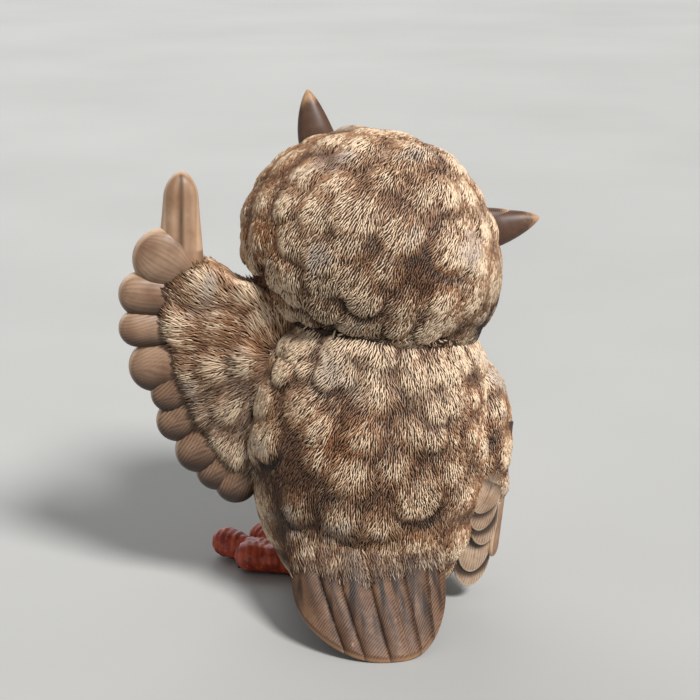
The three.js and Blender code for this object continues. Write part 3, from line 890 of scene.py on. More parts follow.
@dataclass(frozen=True)
class StrokeRows:
    """How the strokes lie on one skin."""

    spacing: float = 0.67 * MM
    length: float = 3.5 * MM
    width: float = 0.56 * MM
    height: float = 0.5 * MM
    unevenness: float = 0.26
    seed: int = 1

    def tree(self) -> bpy.types.NodeTree:
        """Builds the node tree that scatters strokes over a skin, along its flow."""
        tree = bpy.data.node_groups.new("stroke_rows", "GeometryNodeTree")
        inputs = {"Geometry": "Geometry", "Stroke": "Object", "Material": "Material", "Seed": "Int"}
        inputs.update(dict.fromkeys(("Spacing", "Length", "Width", "Height", "Unevenness"), "Float"))
        for name, kind in inputs.items():
            tree.interface.new_socket(name, in_out="INPUT", socket_type=f"NodeSocket{kind}")
        tree.interface.new_socket("Geometry", in_out="OUTPUT", socket_type="NodeSocketGeometry")

        def add(kind: str, settings: dict[str, Any] | None = None, **sockets: Any) -> bpy.types.Node:
            """Adds a node to this tree."""
            return add_node(tree, kind, settings, **sockets)

        def product(a: Any, b: Any) -> bpy.types.NodeSocket:
            """Multiplies two numbers."""
            return add("ShaderNodeMath", {"operation": "MULTIPLY"}, _0=a, _1=b).outputs[0]

        def read(name: str, kind: str = "FLOAT") -> bpy.types.NodeSocket:
            """Reads a mark from the skin."""
            reader = add("GeometryNodeInputNamedAttribute", {"data_type": kind}, Name=name)
            return reader.outputs["Attribute"]

        def chance(low: Any, high: Any, seed: int) -> bpy.types.NodeSocket:
            """Draws a number between two for each stroke."""
            draw = add("FunctionNodeRandomValue", {"data_type": "FLOAT"}, _2=low, _3=high, Seed=seed)
            return draw.outputs[1]

        given = add("NodeGroupInput").outputs
        squeeze = add("ShaderNodeMath", {"operation": "POWER"}, _0=given["Spacing"], _1=-2.0).outputs[0]
        densest = product(squeeze, 4.0)
        scatter = add(
            "GeometryNodeDistributePointsOnFaces", {"distribute_method": "POISSON"}, Mesh=given["Geometry"],
            Distance_Min=given["Spacing"], Density_Max=densest, Density_Factor=read("grown"),
            Seed=given["Seed"],
        )  # fmt: skip
        upright = add("FunctionNodeAlignRotationToVector", {"axis": "Z"}, Vector=scatter.outputs["Normal"])
        combed = add(
            "FunctionNodeAlignRotationToVector", {"axis": "Y", "pivot_axis": "Z"},
            Rotation=upright.outputs[0], Vector=read("flow", "FLOAT_VECTOR"),
        )  # fmt: skip

        slack = product(given["Unevenness"], -1.0)
        sway = add("ShaderNodeCombineXYZ", Z=chance(slack, given["Unevenness"], 11)).outputs[0]
        turned = add(
            "FunctionNodeRotateRotation", {"rotation_space": "LOCAL"}, Rotation=combed.outputs[0],
            Rotate_By=add("FunctionNodeEulerToRotation", Euler=sway).outputs[0],
        )  # fmt: skip
        longer = product(given["Length"], read("reach"))
        scale = add(
            "ShaderNodeCombineXYZ", X=product(given["Width"], chance(0.75, 1.2, 12)),
            Y=product(longer, chance(0.7, 1.25, 13)), Z=product(given["Height"], chance(0.7, 1.3, 14)),
        )  # fmt: skip
        marked = add(
            "GeometryNodeStoreNamedAttribute", {"data_type": "FLOAT", "domain": "POINT"},
            Geometry=scatter.outputs["Points"], Name="tint", Value=chance(0.0, 1.0, 15),
        )  # fmt: skip
        ridge = add("GeometryNodeObjectInfo", {"transform_space": "ORIGINAL"}, Object=given["Stroke"])
        laid = add(
            "GeometryNodeInstanceOnPoints", Points=marked.outputs[0], Instance=ridge.outputs["Geometry"],
            Rotation=turned.outputs[0], Scale=scale.outputs[0],
        )  # fmt: skip
        whole = add("GeometryNodeRealizeInstances", Geometry=laid.outputs[0])
        dressed = add("GeometryNodeSetMaterial", Geometry=whole.outputs[0], Material=given["Material"])
        add("NodeGroupOutput", Geometry=dressed.outputs[0])
        return tree

    def cut(
        self, skin: bpy.types.Object, name: str, floor: float = 0.0, parts: Sequence[str] = ("strokes",)
    ) -> list[bpy.types.Object]:
        """Covers a skin with strokes.

        Args:
            skin: a mesh with the marks flow, grown, reach, crown, cream, and the dark wash with painted
                shade.
            name: what the pieces' names start with.
            floor: the height of the ground or base below it.
            parts: the pieces' last names.

        Returns:
            The stroke pieces.
        """
        material = FINISHES["plumage"]
        stroke = Stroke()
        template = stroke.template(material)
        values = {
            "Stroke": template, "Spacing": self.spacing, "Length": self.length, "Width": self.width,
            "Height": self.height, "Unevenness": self.unevenness, "Seed": self.seed, "Material": material,
        }  # fmt: skip
        host = bpy.data.objects.new("stroke_host", skin.data)
        bpy.context.scene.collection.objects.link(host)
        modifier = host.modifiers.new("strokes", "NODES")
        modifier.node_group = self.tree()
        for item in modifier.node_group.interface.items_tree:
            if item.in_out == "INPUT" and item.name in values:
                modifier[item.identifier] = values[item.name]
        mesh = evaluated_mesh(host)
        host.modifiers.remove(modifier)
        bpy.data.objects.remove(host)
        discard(template)
        return stroke.pieces(name, mesh, material, floor, parts)


# ---------------------------------------------------------------------------------------------------
# Smooth feathers


@dataclass(frozen=True)
class Feather:
    """One smooth feather with a rounded tip, carved as a lobe with fine barbs."""

    root: np.ndarray
    along: np.ndarray
    face: np.ndarray
    length: float
    half_width: float
    half_thickness: float
    root_share: float = 0.7
    root_reach: float = 0.5
    roundness: float = 1.0
    point: tuple[float, float] = (2.0, 0.5)
    bend: float = 0.0
    sweep: float = 0.0
    barbs: Barbs = Barbs.HERRINGBONE
    pitch: float = 0.9 * MM
    depth: float = 0.08 * MM
    shaft_depth: float = 0.0
    root_shade: float = 0.8
    underside: float = 0.0
    rings: int = 72
    around: int = 88

    def build(self) -> tuple[np.ndarray, list[list[int]], dict[str, np.ndarray]]:
        """Shapes the feather.

        Returns:
            Points, faces and the marks along, barb, rim, shaft and shade.
        """
        along, face = unit(self.along), unit(tangent(self.face, unit(self.along)))
        across = np.cross(along, face)
        u = 1.0 - (1.0 - np.linspace(0.0, 0.9985, self.rings)) ** 1.55
        angle = np.linspace(0.0, 2.0 * math.pi, self.around, endpoint=False)
        u, angle = np.meshgrid(u, angle, indexing="ij")
        start = max(0.0, 1.0 - self.roundness * self.half_width / self.length)
        power, dulling = self.point
        past_start = np.maximum(u - start, 0.0) / (1.0 - start)
        tip = np.clip(1.0 - past_start**power, 0.0, 1.0) ** dulling
        opening = self.root_share + (1.0 - self.root_share) * smooth(u / self.root_reach)
        width = self.half_width * opening * tip
        thick = self.half_thickness * (0.8 + 0.2 * smooth(u / 0.4)) * tip**0.75
        cosine, sine = np.cos(angle), np.sin(angle)
        side = width * np.sign(cosine) * np.abs(cosine) ** 0.9
        rise = thick * np.sign(sine) * np.abs(sine) ** 0.9
        barb = self.wave(u * self.length, side, width)
        shaft = np.exp(-((side / (0.16 * self.half_width)) ** 2))
        carved = (barb - 0.5) * 2.0 * self.depth - self.shaft_depth * shaft
        rise = rise + np.sign(sine) * np.abs(sine) * carved * tip
        rise = rise + self.bend * u**2 * self.length
        side = side + self.sweep * u**2 * self.length
        rings = (
            self.root
            + (u * self.length)[..., None] * along
            + side[..., None] * across
            + rise[..., None] * face
        )
        points, faces = loft(rings)
        rim = smooth((np.hypot(side / self.half_width, past_start) - 0.86) / 0.12)
        low = smooth((-(rings[..., 2] - rings[..., 2].mean()) / self.half_width + 0.15) / 0.95)
        marks = {
            "along": u,
            "barb": barb,
            "rim": rim * (u > 0.35),
            "shaft": shaft,
            "shade": np.clip(1.0 - u * 3.2, 0.0, 1.0) * self.root_shade + low * self.underside,
        }
        ends = {"along": (0.0, 1.0), "barb": (0.5, 0.5), "rim": (0.0, 1.0), "shaft": (0.0, 0.0)}
        ends["shade"] = (1.0, 0.0)
        return points, faces, {k: np.concatenate([v.ravel(), ends[k]]) for k, v in marks.items()}

    def wave(self, travelled: np.ndarray, side: np.ndarray, width: np.ndarray) -> np.ndarray:
        """Gives the barbs' height, from 0 in a cut to 1 on a ridge."""
        if self.barbs is Barbs.HERRINGBONE:
            phase = (travelled - 1.2 * np.abs(side)) / self.pitch
        elif self.barbs is Barbs.FAN:
            phase = np.arctan2(side, travelled + 0.35 * self.length) * self.length / self.pitch
        elif self.barbs is Barbs.ACROSS:
            phase = (travelled * 0.25 + side) / self.pitch
        else:
            phase = side / np.maximum(width, 0.2 * self.half_width) * self.half_width / self.pitch
        wobble = 0.35 * np.sin(travelled / (1.7 * MM)) + 0.25 * np.sin(side / (0.9 * MM) + 1.0)
        return 0.5 + 0.5 * np.sin(2.0 * math.pi * phase + wobble)


def feather_piece(name: str, material: bpy.types.Material, *feathers: Feather) -> bpy.types.Object:
    """Makes one piece of one or more feathers, with their faces turned outwards."""
    points, faces, marks, start = [], [], {}, 0
    for feather in feathers:
        more, skin, notes = feather.build()
        points.append(more)
        faces += [[corner + start for corner in face] for face in skin]
        for key, values in notes.items():
            marks.setdefault(key, []).append(values)
        start += len(more)
    joined = {key: np.concatenate(values) for key, values in marks.items()}
    piece = mesh_piece(name, np.concatenate(points), faces, material, joined)
    turn_outwards(piece.data)
    return piece


def turn_outwards(mesh: bpy.types.Mesh) -> None:
    """Makes a closed mesh's faces point outwards."""
    work = bmesh.new()
    work.from_mesh(mesh)
    bmesh.ops.recalc_face_normals(work, faces=work.faces)
    work.to_mesh(mesh)
    work.free()
    mesh.update()


# ---------------------------------------------------------------------------------------------------
# The owl's sub-assemblies


@dataclass
class Torso:
    """The body: an egg cut flat at the base, with a seat for the head, and clumps hanging in rows."""

    half_width: float = 42 * MM
    half_depth: float = 38.5 * MM
    half_height: float = 57 * MM
    base_cut: float = 6.5 * MM
    base_height: float = 1.5 * MM
    carving_depth: float = 1.6 * MM
    clump_pitch: float = 14.5 * MM
    clump_radius: float = 9.4 * MM
    clump_height: float = 1.6 * MM
    scale_pitch: float = 8.5 * MM
    scale_radius: float = 5.4 * MM
    scale_height: float = 1.5 * MM
    grid: int = 84

    @property
    def halves(self) -> np.ndarray:
        """The half sizes of the egg."""
        return np.array([self.half_width, self.half_depth, self.half_height])

    @property
    def middle(self) -> np.ndarray:
        """The middle of the egg, at its widest ring."""
        return np.array([0.0, 0.0, self.base_height + self.half_height - self.base_cut])

    def on_skin(self, azimuth: float, height: float) -> np.ndarray:
        """Gives the point of the bare egg at an azimuth in degrees and a height."""
        share = (height - self.middle[2]) / self.half_height
        ring = math.sqrt(max(0.0, 1.0 - share * share))
        turn = math.radians(azimuth)
        across, behind = self.half_width * ring * math.cos(turn), self.half_depth * ring * math.sin(turn)
        return np.array([across, behind, height])

    def normals_at(self, points: np.ndarray) -> np.ndarray:
        """Gives the bare egg's outward normals near some points."""
        return unit((points - self.middle) / self.halves**2)

    def flow(self, points: np.ndarray, normals: np.ndarray, splay: np.ndarray) -> np.ndarray:
        """Combs the strokes downwards, towards the raised wing on that side and apart on each clump."""
        offset = points - self.middle
        pull = smooth((offset[:, 0] + 6 * MM) / (42 * MM)) * smooth((offset[:, 2] + 26 * MM) / (60 * MM))
        pull = 1.5 * pull * smooth((offset[:, 1] + 18 * MM) / (24 * MM))
        way = np.tile(-UP, (len(points), 1))
        way[:, 0] += pull + 0.12 * np.sign(offset[:, 0])
        way += 0.55 * splay + 0.16 * waves(points, 26 * MM, 3)[:, None] * np.array([1.0, -0.4, 0.0])
        return unit(tangent(way, normals))

    def clumps(self) -> Clumps:
        """Hangs wide soft clumps in rows, and small crisp ones at the neck and on the right shoulder."""
        spots, downs = lattice(self.halves, 0.72, 2.62, self.clump_pitch, 21)
        wide = clumps_at(spots + self.middle, downs, self.clump_radius, self.clump_height, 0.2, 4)
        small, hangs = lattice(self.halves, 0.66, 1.35, self.scale_pitch, 24)
        shoulder = smooth((-small[:, 0] - 8 * MM) / (14 * MM))
        neck = smooth((small[:, 2] - 26 * MM) / (8 * MM))
        kept = np.maximum(shoulder, neck) > 0.4
        places = small[kept] + self.middle
        return wide.joined(clumps_at(places, hangs[kept], self.scale_radius, self.scale_height, 0.6, 5))

    def painted_shade(self, height: np.ndarray, left: np.ndarray) -> np.ndarray:
        """Says how much painted shade darkens the body low down and under the raised wing."""
        under_wing = smooth((left - 4 * MM) / (30 * MM)) * smooth((72 * MM - height) / (30 * MM))
        return 0.5 * under_wing + 0.3 * smooth((34 * MM - height) / (26 * MM))

    def over_tail(self, points: np.ndarray) -> np.ndarray:
        """Says, from 0 to 1, how near points are to where the tail leaves the rump."""
        level = smooth(1.0 - np.abs(points[:, 2] - 30 * MM) / (12 * MM))
        return level * smooth((points[:, 1] - 14 * MM) / (10 * MM))

    def build(self, head: Head, cover: FoldedWing) -> bpy.types.Object:
        """Makes the skin, with its strokes over it.

        Args:
            head: whose seat is hollowed out of the shoulders.
            cover: the folded wing, under which the skin stays bare.

        Returns:
            The skin.
        """
        directions, faces = ball(self.grid)
        points = self.middle + directions * self.halves
        normals = self.normals_at(points)
        relief = self.clumps().relief(points)
        bare = cover.covers(points)
        flank = 20 * MM * smooth((42 * MM - points[:, 2]) / (22 * MM))
        front = smooth((flank - points[:, 1] - 10 * MM) / (10 * MM))
        front *= smooth((self.half_width * 0.86 + 0.5 * flank - np.abs(points[:, 0])) / (5 * MM))
        low = smooth((points[:, 2] - 6 * MM) / (10 * MM))
        lift = relief["lift"] * (1.0 - bare) * low * (1.0 - 0.35 * front) - self.carving_depth * low
        lift += 0.3 * MM * waves(points, 14 * MM, 6) * low
        height, left = points[:, 2].copy(), points[:, 0].copy()
        flow = self.flow(points, normals, relief["splay"])
        points = points + normals * lift[:, None]
        points = head.make_room(points, 0.3 * MM)
        points[:, 2] = np.maximum(points[:, 2], self.base_height)
        hidden = smooth((head.depth_of(points) + 1.0 * MM) / (1.5 * MM))
        # Painted shade low on the body and under the raised wing, added to the wash.
        wash = relief["wash"] + self.painted_shade(height, left) * (1.0 - relief["crown"]) * (1.0 - front)
        # Painted highlight: more cream on the crowns towards the top of the back.
        shoulders = 0.35 * smooth((height - 58 * MM) / (22 * MM)) * relief["crown"]
        reach = 1.0 - 0.35 * front - 0.3 * smooth((2 * MM - left) / (30 * MM))
        marks = {
            "flow": flow,
            "crown": relief["crown"],
            "wash": np.clip(wash, 0.0, 1.0),
            "cream": np.maximum(front, shoulders),
            "grown": (1.0 - hidden) * (bare < 0.6) * (points[:, 2] > 2.4 * MM),
            "reach": reach + 0.5 * self.over_tail(points),
        }
        skin = mesh_piece("torso_skin", points, faces, FINISHES["ground"], marks)
        for piece in StrokeRows(seed=3).cut(skin, "torso", self.base_height, BACK_AND_FRONT):
            hand_over(piece, Slot.PLUMAGE, "torso_shell")
        hand_over(skin, Slot.PLUMAGE, "torso_shell")
        return skin


@dataclass
class Head:
    """The head: a tilted egg with facial discs, eyes, a beak and two ear tufts."""

    half_width: float = 43 * MM
    half_depth: float = 39 * MM
    half_height: float = 36 * MM
    taper: float = 0.09
    middle: tuple[float, float, float] = (-1.6 * MM, -4 * MM, 117 * MM)
    tilt: float = -28.0
    turn: float = -9.0
    eye_radius: float = 9.5 * MM
    eye_spacing: float = 31 * MM
    eye_rise: float = 3 * MM
    eye_dome: float = 4.5 * MM
    iris_thickness: float = 1 * MM
    glue_gap: float = 0.3 * MM
    disc_radius: float = 17.5 * MM
    beak_length: float = 15 * MM
    beak_radius: float = 5 * MM
    ear_place: float = 0.77
    ear_forward: float = 0.24
    ear_length: float = 13.5 * MM
    ear_radius: float = 6.6 * MM
    ear_splay: float = 48.0
    carving_depth: float = 1.5 * MM
    clump_pitch: float = 14 * MM
    clump_radius: float = 9.2 * MM
    clump_height: float = 1.5 * MM
    brim_pitch: float = 10 * MM
    brim_radius: float = 6.6 * MM
    brim_height: float = 2.2 * MM
    grid: int = 84

    @property
    def halves(self) -> np.ndarray:
        """The half sizes of the egg."""
        return np.array([self.half_width, self.half_depth, self.half_height])

    @property
    def turned(self) -> np.ndarray:
        """The head's axes in the owl's frame, as the columns of a matrix."""
        tilt = Matrix.Rotation(math.radians(self.tilt), 3, "Y")
        return np.array(tilt @ Matrix.Rotation(math.radians(self.turn), 3, "Z"))

    def place(self, points: np.ndarray) -> np.ndarray:
        """Moves points from the head's own frame into the owl's."""
        return points @ self.turned.T + np.array(self.middle)

    def own(self, points: np.ndarray) -> np.ndarray:
        """Moves points from the owl's frame into the head's own."""
        return (points - np.array(self.middle)) @ self.turned

    def tapered(self, points: np.ndarray) -> np.ndarray:
        """Narrows the crown and widens the cheeks."""
        result = points.copy()
        result[:, 0] *= 1.0 - self.taper * points[:, 2] / self.half_height
        return result

    def depth_of(self, points: np.ndarray) -> np.ndarray:
        """Says how far points of the owl's frame are inside the bare head, which is negative outside it."""
        own = self.own(points)
        own[:, 0] /= 1.0 - self.taper * own[:, 2] / self.half_height
        share = np.linalg.norm(own / self.halves, axis=1)
        return (1.0 - share) * np.linalg.norm(own, axis=1) / np.maximum(share, 1e-6)

    def make_room(self, points: np.ndarray, gap: float) -> np.ndarray:
        """Pushes points that are inside the head out to its seat."""
        middle = np.array(self.middle)
        deep = self.depth_of(points) + gap
        return points + unit(points - middle) * np.maximum(deep, 0.0)[:, None]

    def eye_seat(self, side: Side) -> tuple[np.ndarray, np.ndarray]:
        """Gives an eye's place on the skin and its outward way, in the head's frame."""
        x, z = side.value * self.eye_spacing / 2.0, self.eye_rise
        rest = 1.0 - (x / self.half_width) ** 2 - (z / self.half_height) ** 2
        face = np.array([x, -self.half_depth * math.sqrt(rest), z])
        return face, unit(face / self.halves**2)

    def around_eyes(self, points: np.ndarray) -> tuple[np.ndarray, np.ndarray]:
        """Finds the nearer eye for points of the bare head.

        Returns:
            The distance to its middle line, and the way from it, in the head's frame.
        """
        near = np.full(len(points), 1.0)
        way = np.zeros_like(points)
        for side in Side:
            face, out = self.eye_seat(side)
            offset = tangent(points - face, np.tile(out, (len(points), 1)))
            away = np.linalg.norm(offset, axis=1)
            away[points[:, 1] > 0.0] = 1.0
            closer = away < near
            near[closer], way[closer] = away[closer], offset[closer]
        return near, unit(way)

    def build(self) -> bpy.types.Object:
        """Makes the head's skin, strokes, eyes, beak and ears, and returns the skin."""
        skin = self.skin()
        for side in Side:
            self.eye(side)
            self.ear(side)
        self.beak()
        return skin

    def skin(self) -> bpy.types.Object:
        """Makes the skin with its facial discs and strokes."""
        directions, faces = ball(self.grid)
        own = self.tapered(directions * self.halves)
        normals = unit(own / self.halves**2)
        spots, downs = lattice(self.halves, 0.3, 2.2, self.clump_pitch, 33)
        brim, hangs = lattice(self.halves, 2.02, 2.5, self.brim_pitch, 35)
        clumps = clumps_at(self.tapered(spots), downs, self.clump_radius, self.clump_height, 0.2, 9).joined(
            clumps_at(self.tapered(brim), hangs, self.brim_radius, self.brim_height, 0.8, 10)
        )
        relief = clumps.relief(own)
        away, out = self.around_eyes(own)
        disc = 1.0 - smooth((away - self.disc_radius) / (3 * MM))
        across = away / self.disc_radius
        rim = 1.6 * MM * np.exp(-(((across - 1.03) / 0.13) ** 2))
        dish = -1.5 * MM * smooth((1.0 - across) / 0.4)
        socket = -3.6 * MM * smooth((self.eye_radius + 0.9 * MM - away) / (1.0 * MM))
        lift = relief["lift"] * (1.0 - disc) + (dish + socket) * disc + rim
        lift += 0.3 * MM * waves(own, 13 * MM, 7) - self.carving_depth * (1.0 - disc)
        backwards = np.array([0.0, 0.35, 0.0]) * smooth(own[:, 2] / (30 * MM))[:, None]
        sway = 0.16 * waves(own, 22 * MM, 5)[:, None] * np.array([1.0, 0.3, 0.0])
        way = np.tile(-UP, (len(own), 1)) + backwards + 0.5 * relief["splay"] + sway
        way = way * (1.0 - disc)[:, None] + 1.2 * out * disc[:, None]
        flow = unit(tangent(way, normals)) @ self.turned.T
        beside = smooth((np.abs(own[:, 0]) - 3 * MM) / (6 * MM))
        bridge = smooth((-own[:, 1] - 22 * MM) / (10 * MM)) * (1.0 - beside)
        streaks = 0.5 + 0.5 * np.sin(np.arctan2(out[:, 2], out[:, 0]) * 19.0)
        world = self.place(own)
        # Painted shade: darker low on the head, and more so on its lower right side.
        cheek = smooth((-world[:, 0] - 22 * MM) / (14 * MM)) * smooth((118 * MM - world[:, 2]) / (18 * MM))
        painted_shade = 0.7 * smooth((112 * MM - world[:, 2]) / (24 * MM)) + 0.6 * cheek
        washed_and_shaded = np.clip(relief["wash"] + painted_shade * (1.0 - 0.55 * relief["crown"]), 0.0, 1.0) * (1.0 - disc)
        marks = {
            "flow": flow,
            "crown": relief["crown"] * (1.0 - disc) + disc * (0.5 + 0.5 * streaks),
            "wash": np.maximum(washed_and_shaded, 0.7 * np.exp(-(((across - 1.0) / 0.04) ** 2))),
            "cream": np.clip(disc * smooth((1.0 - across) / 0.08) + bridge * 0.7, 0.0, 1.0),
            "grown": (away > self.eye_radius + 1.6 * MM).astype(float),
            "reach": 0.86 - 0.3 * disc,
        }
        placed = self.place(own + normals * lift[:, None])
        skin = mesh_piece("head_skin", placed, faces, FINISHES["ground"], marks)
        for piece in StrokeRows(seed=7).cut(skin, "head", 0.0, BACK_AND_FRONT):
            hand_over(piece, Slot.PLUMAGE, "head_shell")
        hand_over(skin, Slot.PLUMAGE, "head_shell")
        return skin

    def eye(self, side: Side) -> None:
        """Makes one eye: the painted disc, the clear dome over it and the lid around them."""
        name = side.name.lower()
        face, out = self.eye_seat(side)
        edge = self.eye_radius**2 / (2.0 * self.half_depth) + 1.0 * MM
        quarter = np.linspace(0.0, math.pi / 2, 14)
        rounded = [(self.eye_radius * math.cos(t), self.eye_dome * math.sin(t)) for t in quarter]
        dome = [(0.97 * self.eye_radius, -edge), (self.eye_radius, -edge + 0.2 * MM)] + rounded[:-1]
        dome.append((0.02 * self.eye_radius, self.eye_dome))
        clear = self.turned_piece(f"{name}_eye_dome", dome, face, out, FINISHES["glass"])
        hand_over(clear, Slot.EYE, f"{name}_eye")
        back = -edge - self.glue_gap - self.iris_thickness
        disc = [(0.98 * self.eye_radius, back), (self.eye_radius, back + 0.15 * MM)]
        disc += [(self.eye_radius, back + self.iris_thickness - 0.15 * MM)]
        disc += [(r * self.eye_radius, back + self.iris_thickness) for r in (0.98, 0.7, 0.4, 0.1)]
        centre = self.place((face + out * (back + self.iris_thickness))[None])[0]
        paint = IrisPaint(f"{name}_iris_paint", tuple(float(c) for c in centre), self.eye_radius).material()
        iris = self.turned_piece(f"{name}_iris", disc, face, out, paint)
        hand_over(iris, Slot.IRIS, f"{name}_iris_disc")
        turns = np.linspace(0.0, 2.0 * math.pi, 14, endpoint=False)
        lid_radius, lid_middle = 1.3 * MM, self.eye_radius + 1.0 * MM
        section = [(lid_middle + lid_radius * math.cos(t), 1.3 * lid_radius * math.sin(t)) for t in turns]
        rings = self.spun(section, face, out)
        count, around = rings.shape[:2]
        faces = []
        for i in range(count):
            low, high = i * around, (i + 1) % count * around
            for j in range(around):
                k = (j + 1) % around
                faces.append([low + j, high + j, high + k, low + k])
        points = rings.reshape(-1, 3)
        marks = {"barb": np.full(len(points), 0.2), "along": np.zeros(len(points))}
        lid = mesh_piece(f"{name}_eye_lid", points, faces, FINISHES["horn"], marks)
        turn_outwards(lid.data)
        hand_over(lid, Slot.HORN, "head_shell")

    def spun(self, profile: Sequence[tuple[float, float]], face: np.ndarray, out: np.ndarray) -> np.ndarray:
        """Spins a profile of radius and height round a line on the face, as rings in the owl's frame."""
        first = unit(np.cross(out, UP))
        second = np.cross(out, first)
        turns = np.linspace(0.0, 2.0 * math.pi, 64, endpoint=False)
        circle = np.cos(turns)[:, None] * first + np.sin(turns)[:, None] * second
        rings = np.stack([face + radius * circle + height * out for radius, height in profile])
        return self.place(rings.reshape(-1, 3)).reshape(rings.shape)

    def turned_piece(
        self,
        name: str,
        profile: Sequence[tuple[float, float]],
        face: np.ndarray,
        out: np.ndarray,
        material: bpy.types.Material,
    ) -> bpy.types.Object:
        """Makes a closed round piece from its profile."""
        points, faces = loft(self.spun(profile, face, out))
        piece = mesh_piece(name, points, faces, material)
        turn_outwards(piece.data)
        return piece

    def beak(self) -> None:
        """Makes the hooked beak with its nostrils."""
        z = self.eye_rise - self.eye_radius
        seat = np.array([0.0, -self.half_depth * math.sqrt(1.0 - (z / self.half_height) ** 2), z])
        u = np.linspace(0.0, 0.995, 40)[:, None]
        angle = np.linspace(0.0, 2.0 * math.pi, 40, endpoint=False)[None]
        drop, reach = self.beak_length * u, 4.2 * MM * np.sin(math.pi * np.clip(u * 0.75 + 0.2, 0.0, 1.0))
        radius = self.beak_radius * (1.0 - u**2.2) ** 0.8
        ridge = 1.0 + 0.22 * np.maximum(-np.sin(angle), 0.0) ** 8
        x = 0.82 * radius * np.cos(angle)
        y = seat[1] + 2.2 * MM - reach + radius * np.sin(angle) * ridge * 0.9 + 2.2 * MM * u**3
        z_all = seat[2] + 4.5 * MM - drop - 0.25 * radius * np.sin(angle)
        own = np.stack([x, y, z_all], -1)
        for side in Side:
            hole = np.array([side.value * 2.0 * MM, seat[1] - 4.2 * MM, seat[2] + 0.8 * MM])
            near = np.exp(-(((own - hole) ** 2).sum(-1) / (0.9 * MM) ** 2))
            own[..., 1] += 0.8 * MM * near
        points, faces = loft(self.place(own.reshape(-1, 3)).reshape(own.shape))
        marks = {"along": np.concatenate([np.broadcast_to(u, own.shape[:2]).ravel(), [0.0, 1.0]])}
        piece = mesh_piece("beak_hook", points, faces, FINISHES["beak"], marks)
        turn_outwards(piece.data)
        hand_over(piece, Slot.BEAK, "beak")

    def ear(self, side: Side) -> None:
        """Makes one ear tuft of two overlapping smooth lobes."""
        rise = math.sqrt(1.0 - self.ear_place**2 - self.ear_forward**2)
        x = side.value * self.half_width * self.ear_place * (1.0 - self.taper * rise)
        seat = np.array([x, -self.half_depth * self.ear_forward, self.half_height * rise])
        splay = math.radians(self.ear_splay)
        out = unit(np.array([side.value * math.sin(splay), -0.12, math.cos(splay)]))
        across = unit(np.cross(out, [0.0, 1.0, 0.0]))
        root = self.place((seat - 5 * MM * out)[None])[0]
        turn = self.turned
        back = turn @ np.array([0.0, 1.0, 0.1])
        lines = {"barbs": Barbs.HERRINGBONE, "pitch": 0.9 * MM, "depth": 0.15 * MM}
        lobe = {"point": (2.2, 0.75), "root_reach": 0.8, **lines}
        wide = self.ear_radius
        left = side is Side.LEFT
        root = root + turn @ (across * (-1.7 if left else 0.7) * MM)
        main = Feather(
            root, turn @ out, back, self.ear_length + 6.8 * MM, 0.86 * wide, 0.62 * wide, root_share=1.1,
            roundness=3.4, bend=0.06, sweep=0.13 if left else 0.0, **lobe,
        )  # fmt: skip
        beside = np.array([0.0, -1.0, 0.0]) if left else -across
        second = Feather(
            root + turn @ (beside * 2.6 * MM), turn @ unit(out + 0.12 * beside), back,
            self.ear_length - 1.5 * MM, 0.6 * wide, 0.5 * wide,
            root_share=1.4, roundness=3.0, bend=0.05, **lobe,
        )  # fmt: skip
        name = side.name.lower()
        piece = feather_piece(f"{name}_ear_horn", FINISHES["horn"], main, second)
        hand_over(piece, Slot.HORN, f"{name}_ear_tuft")


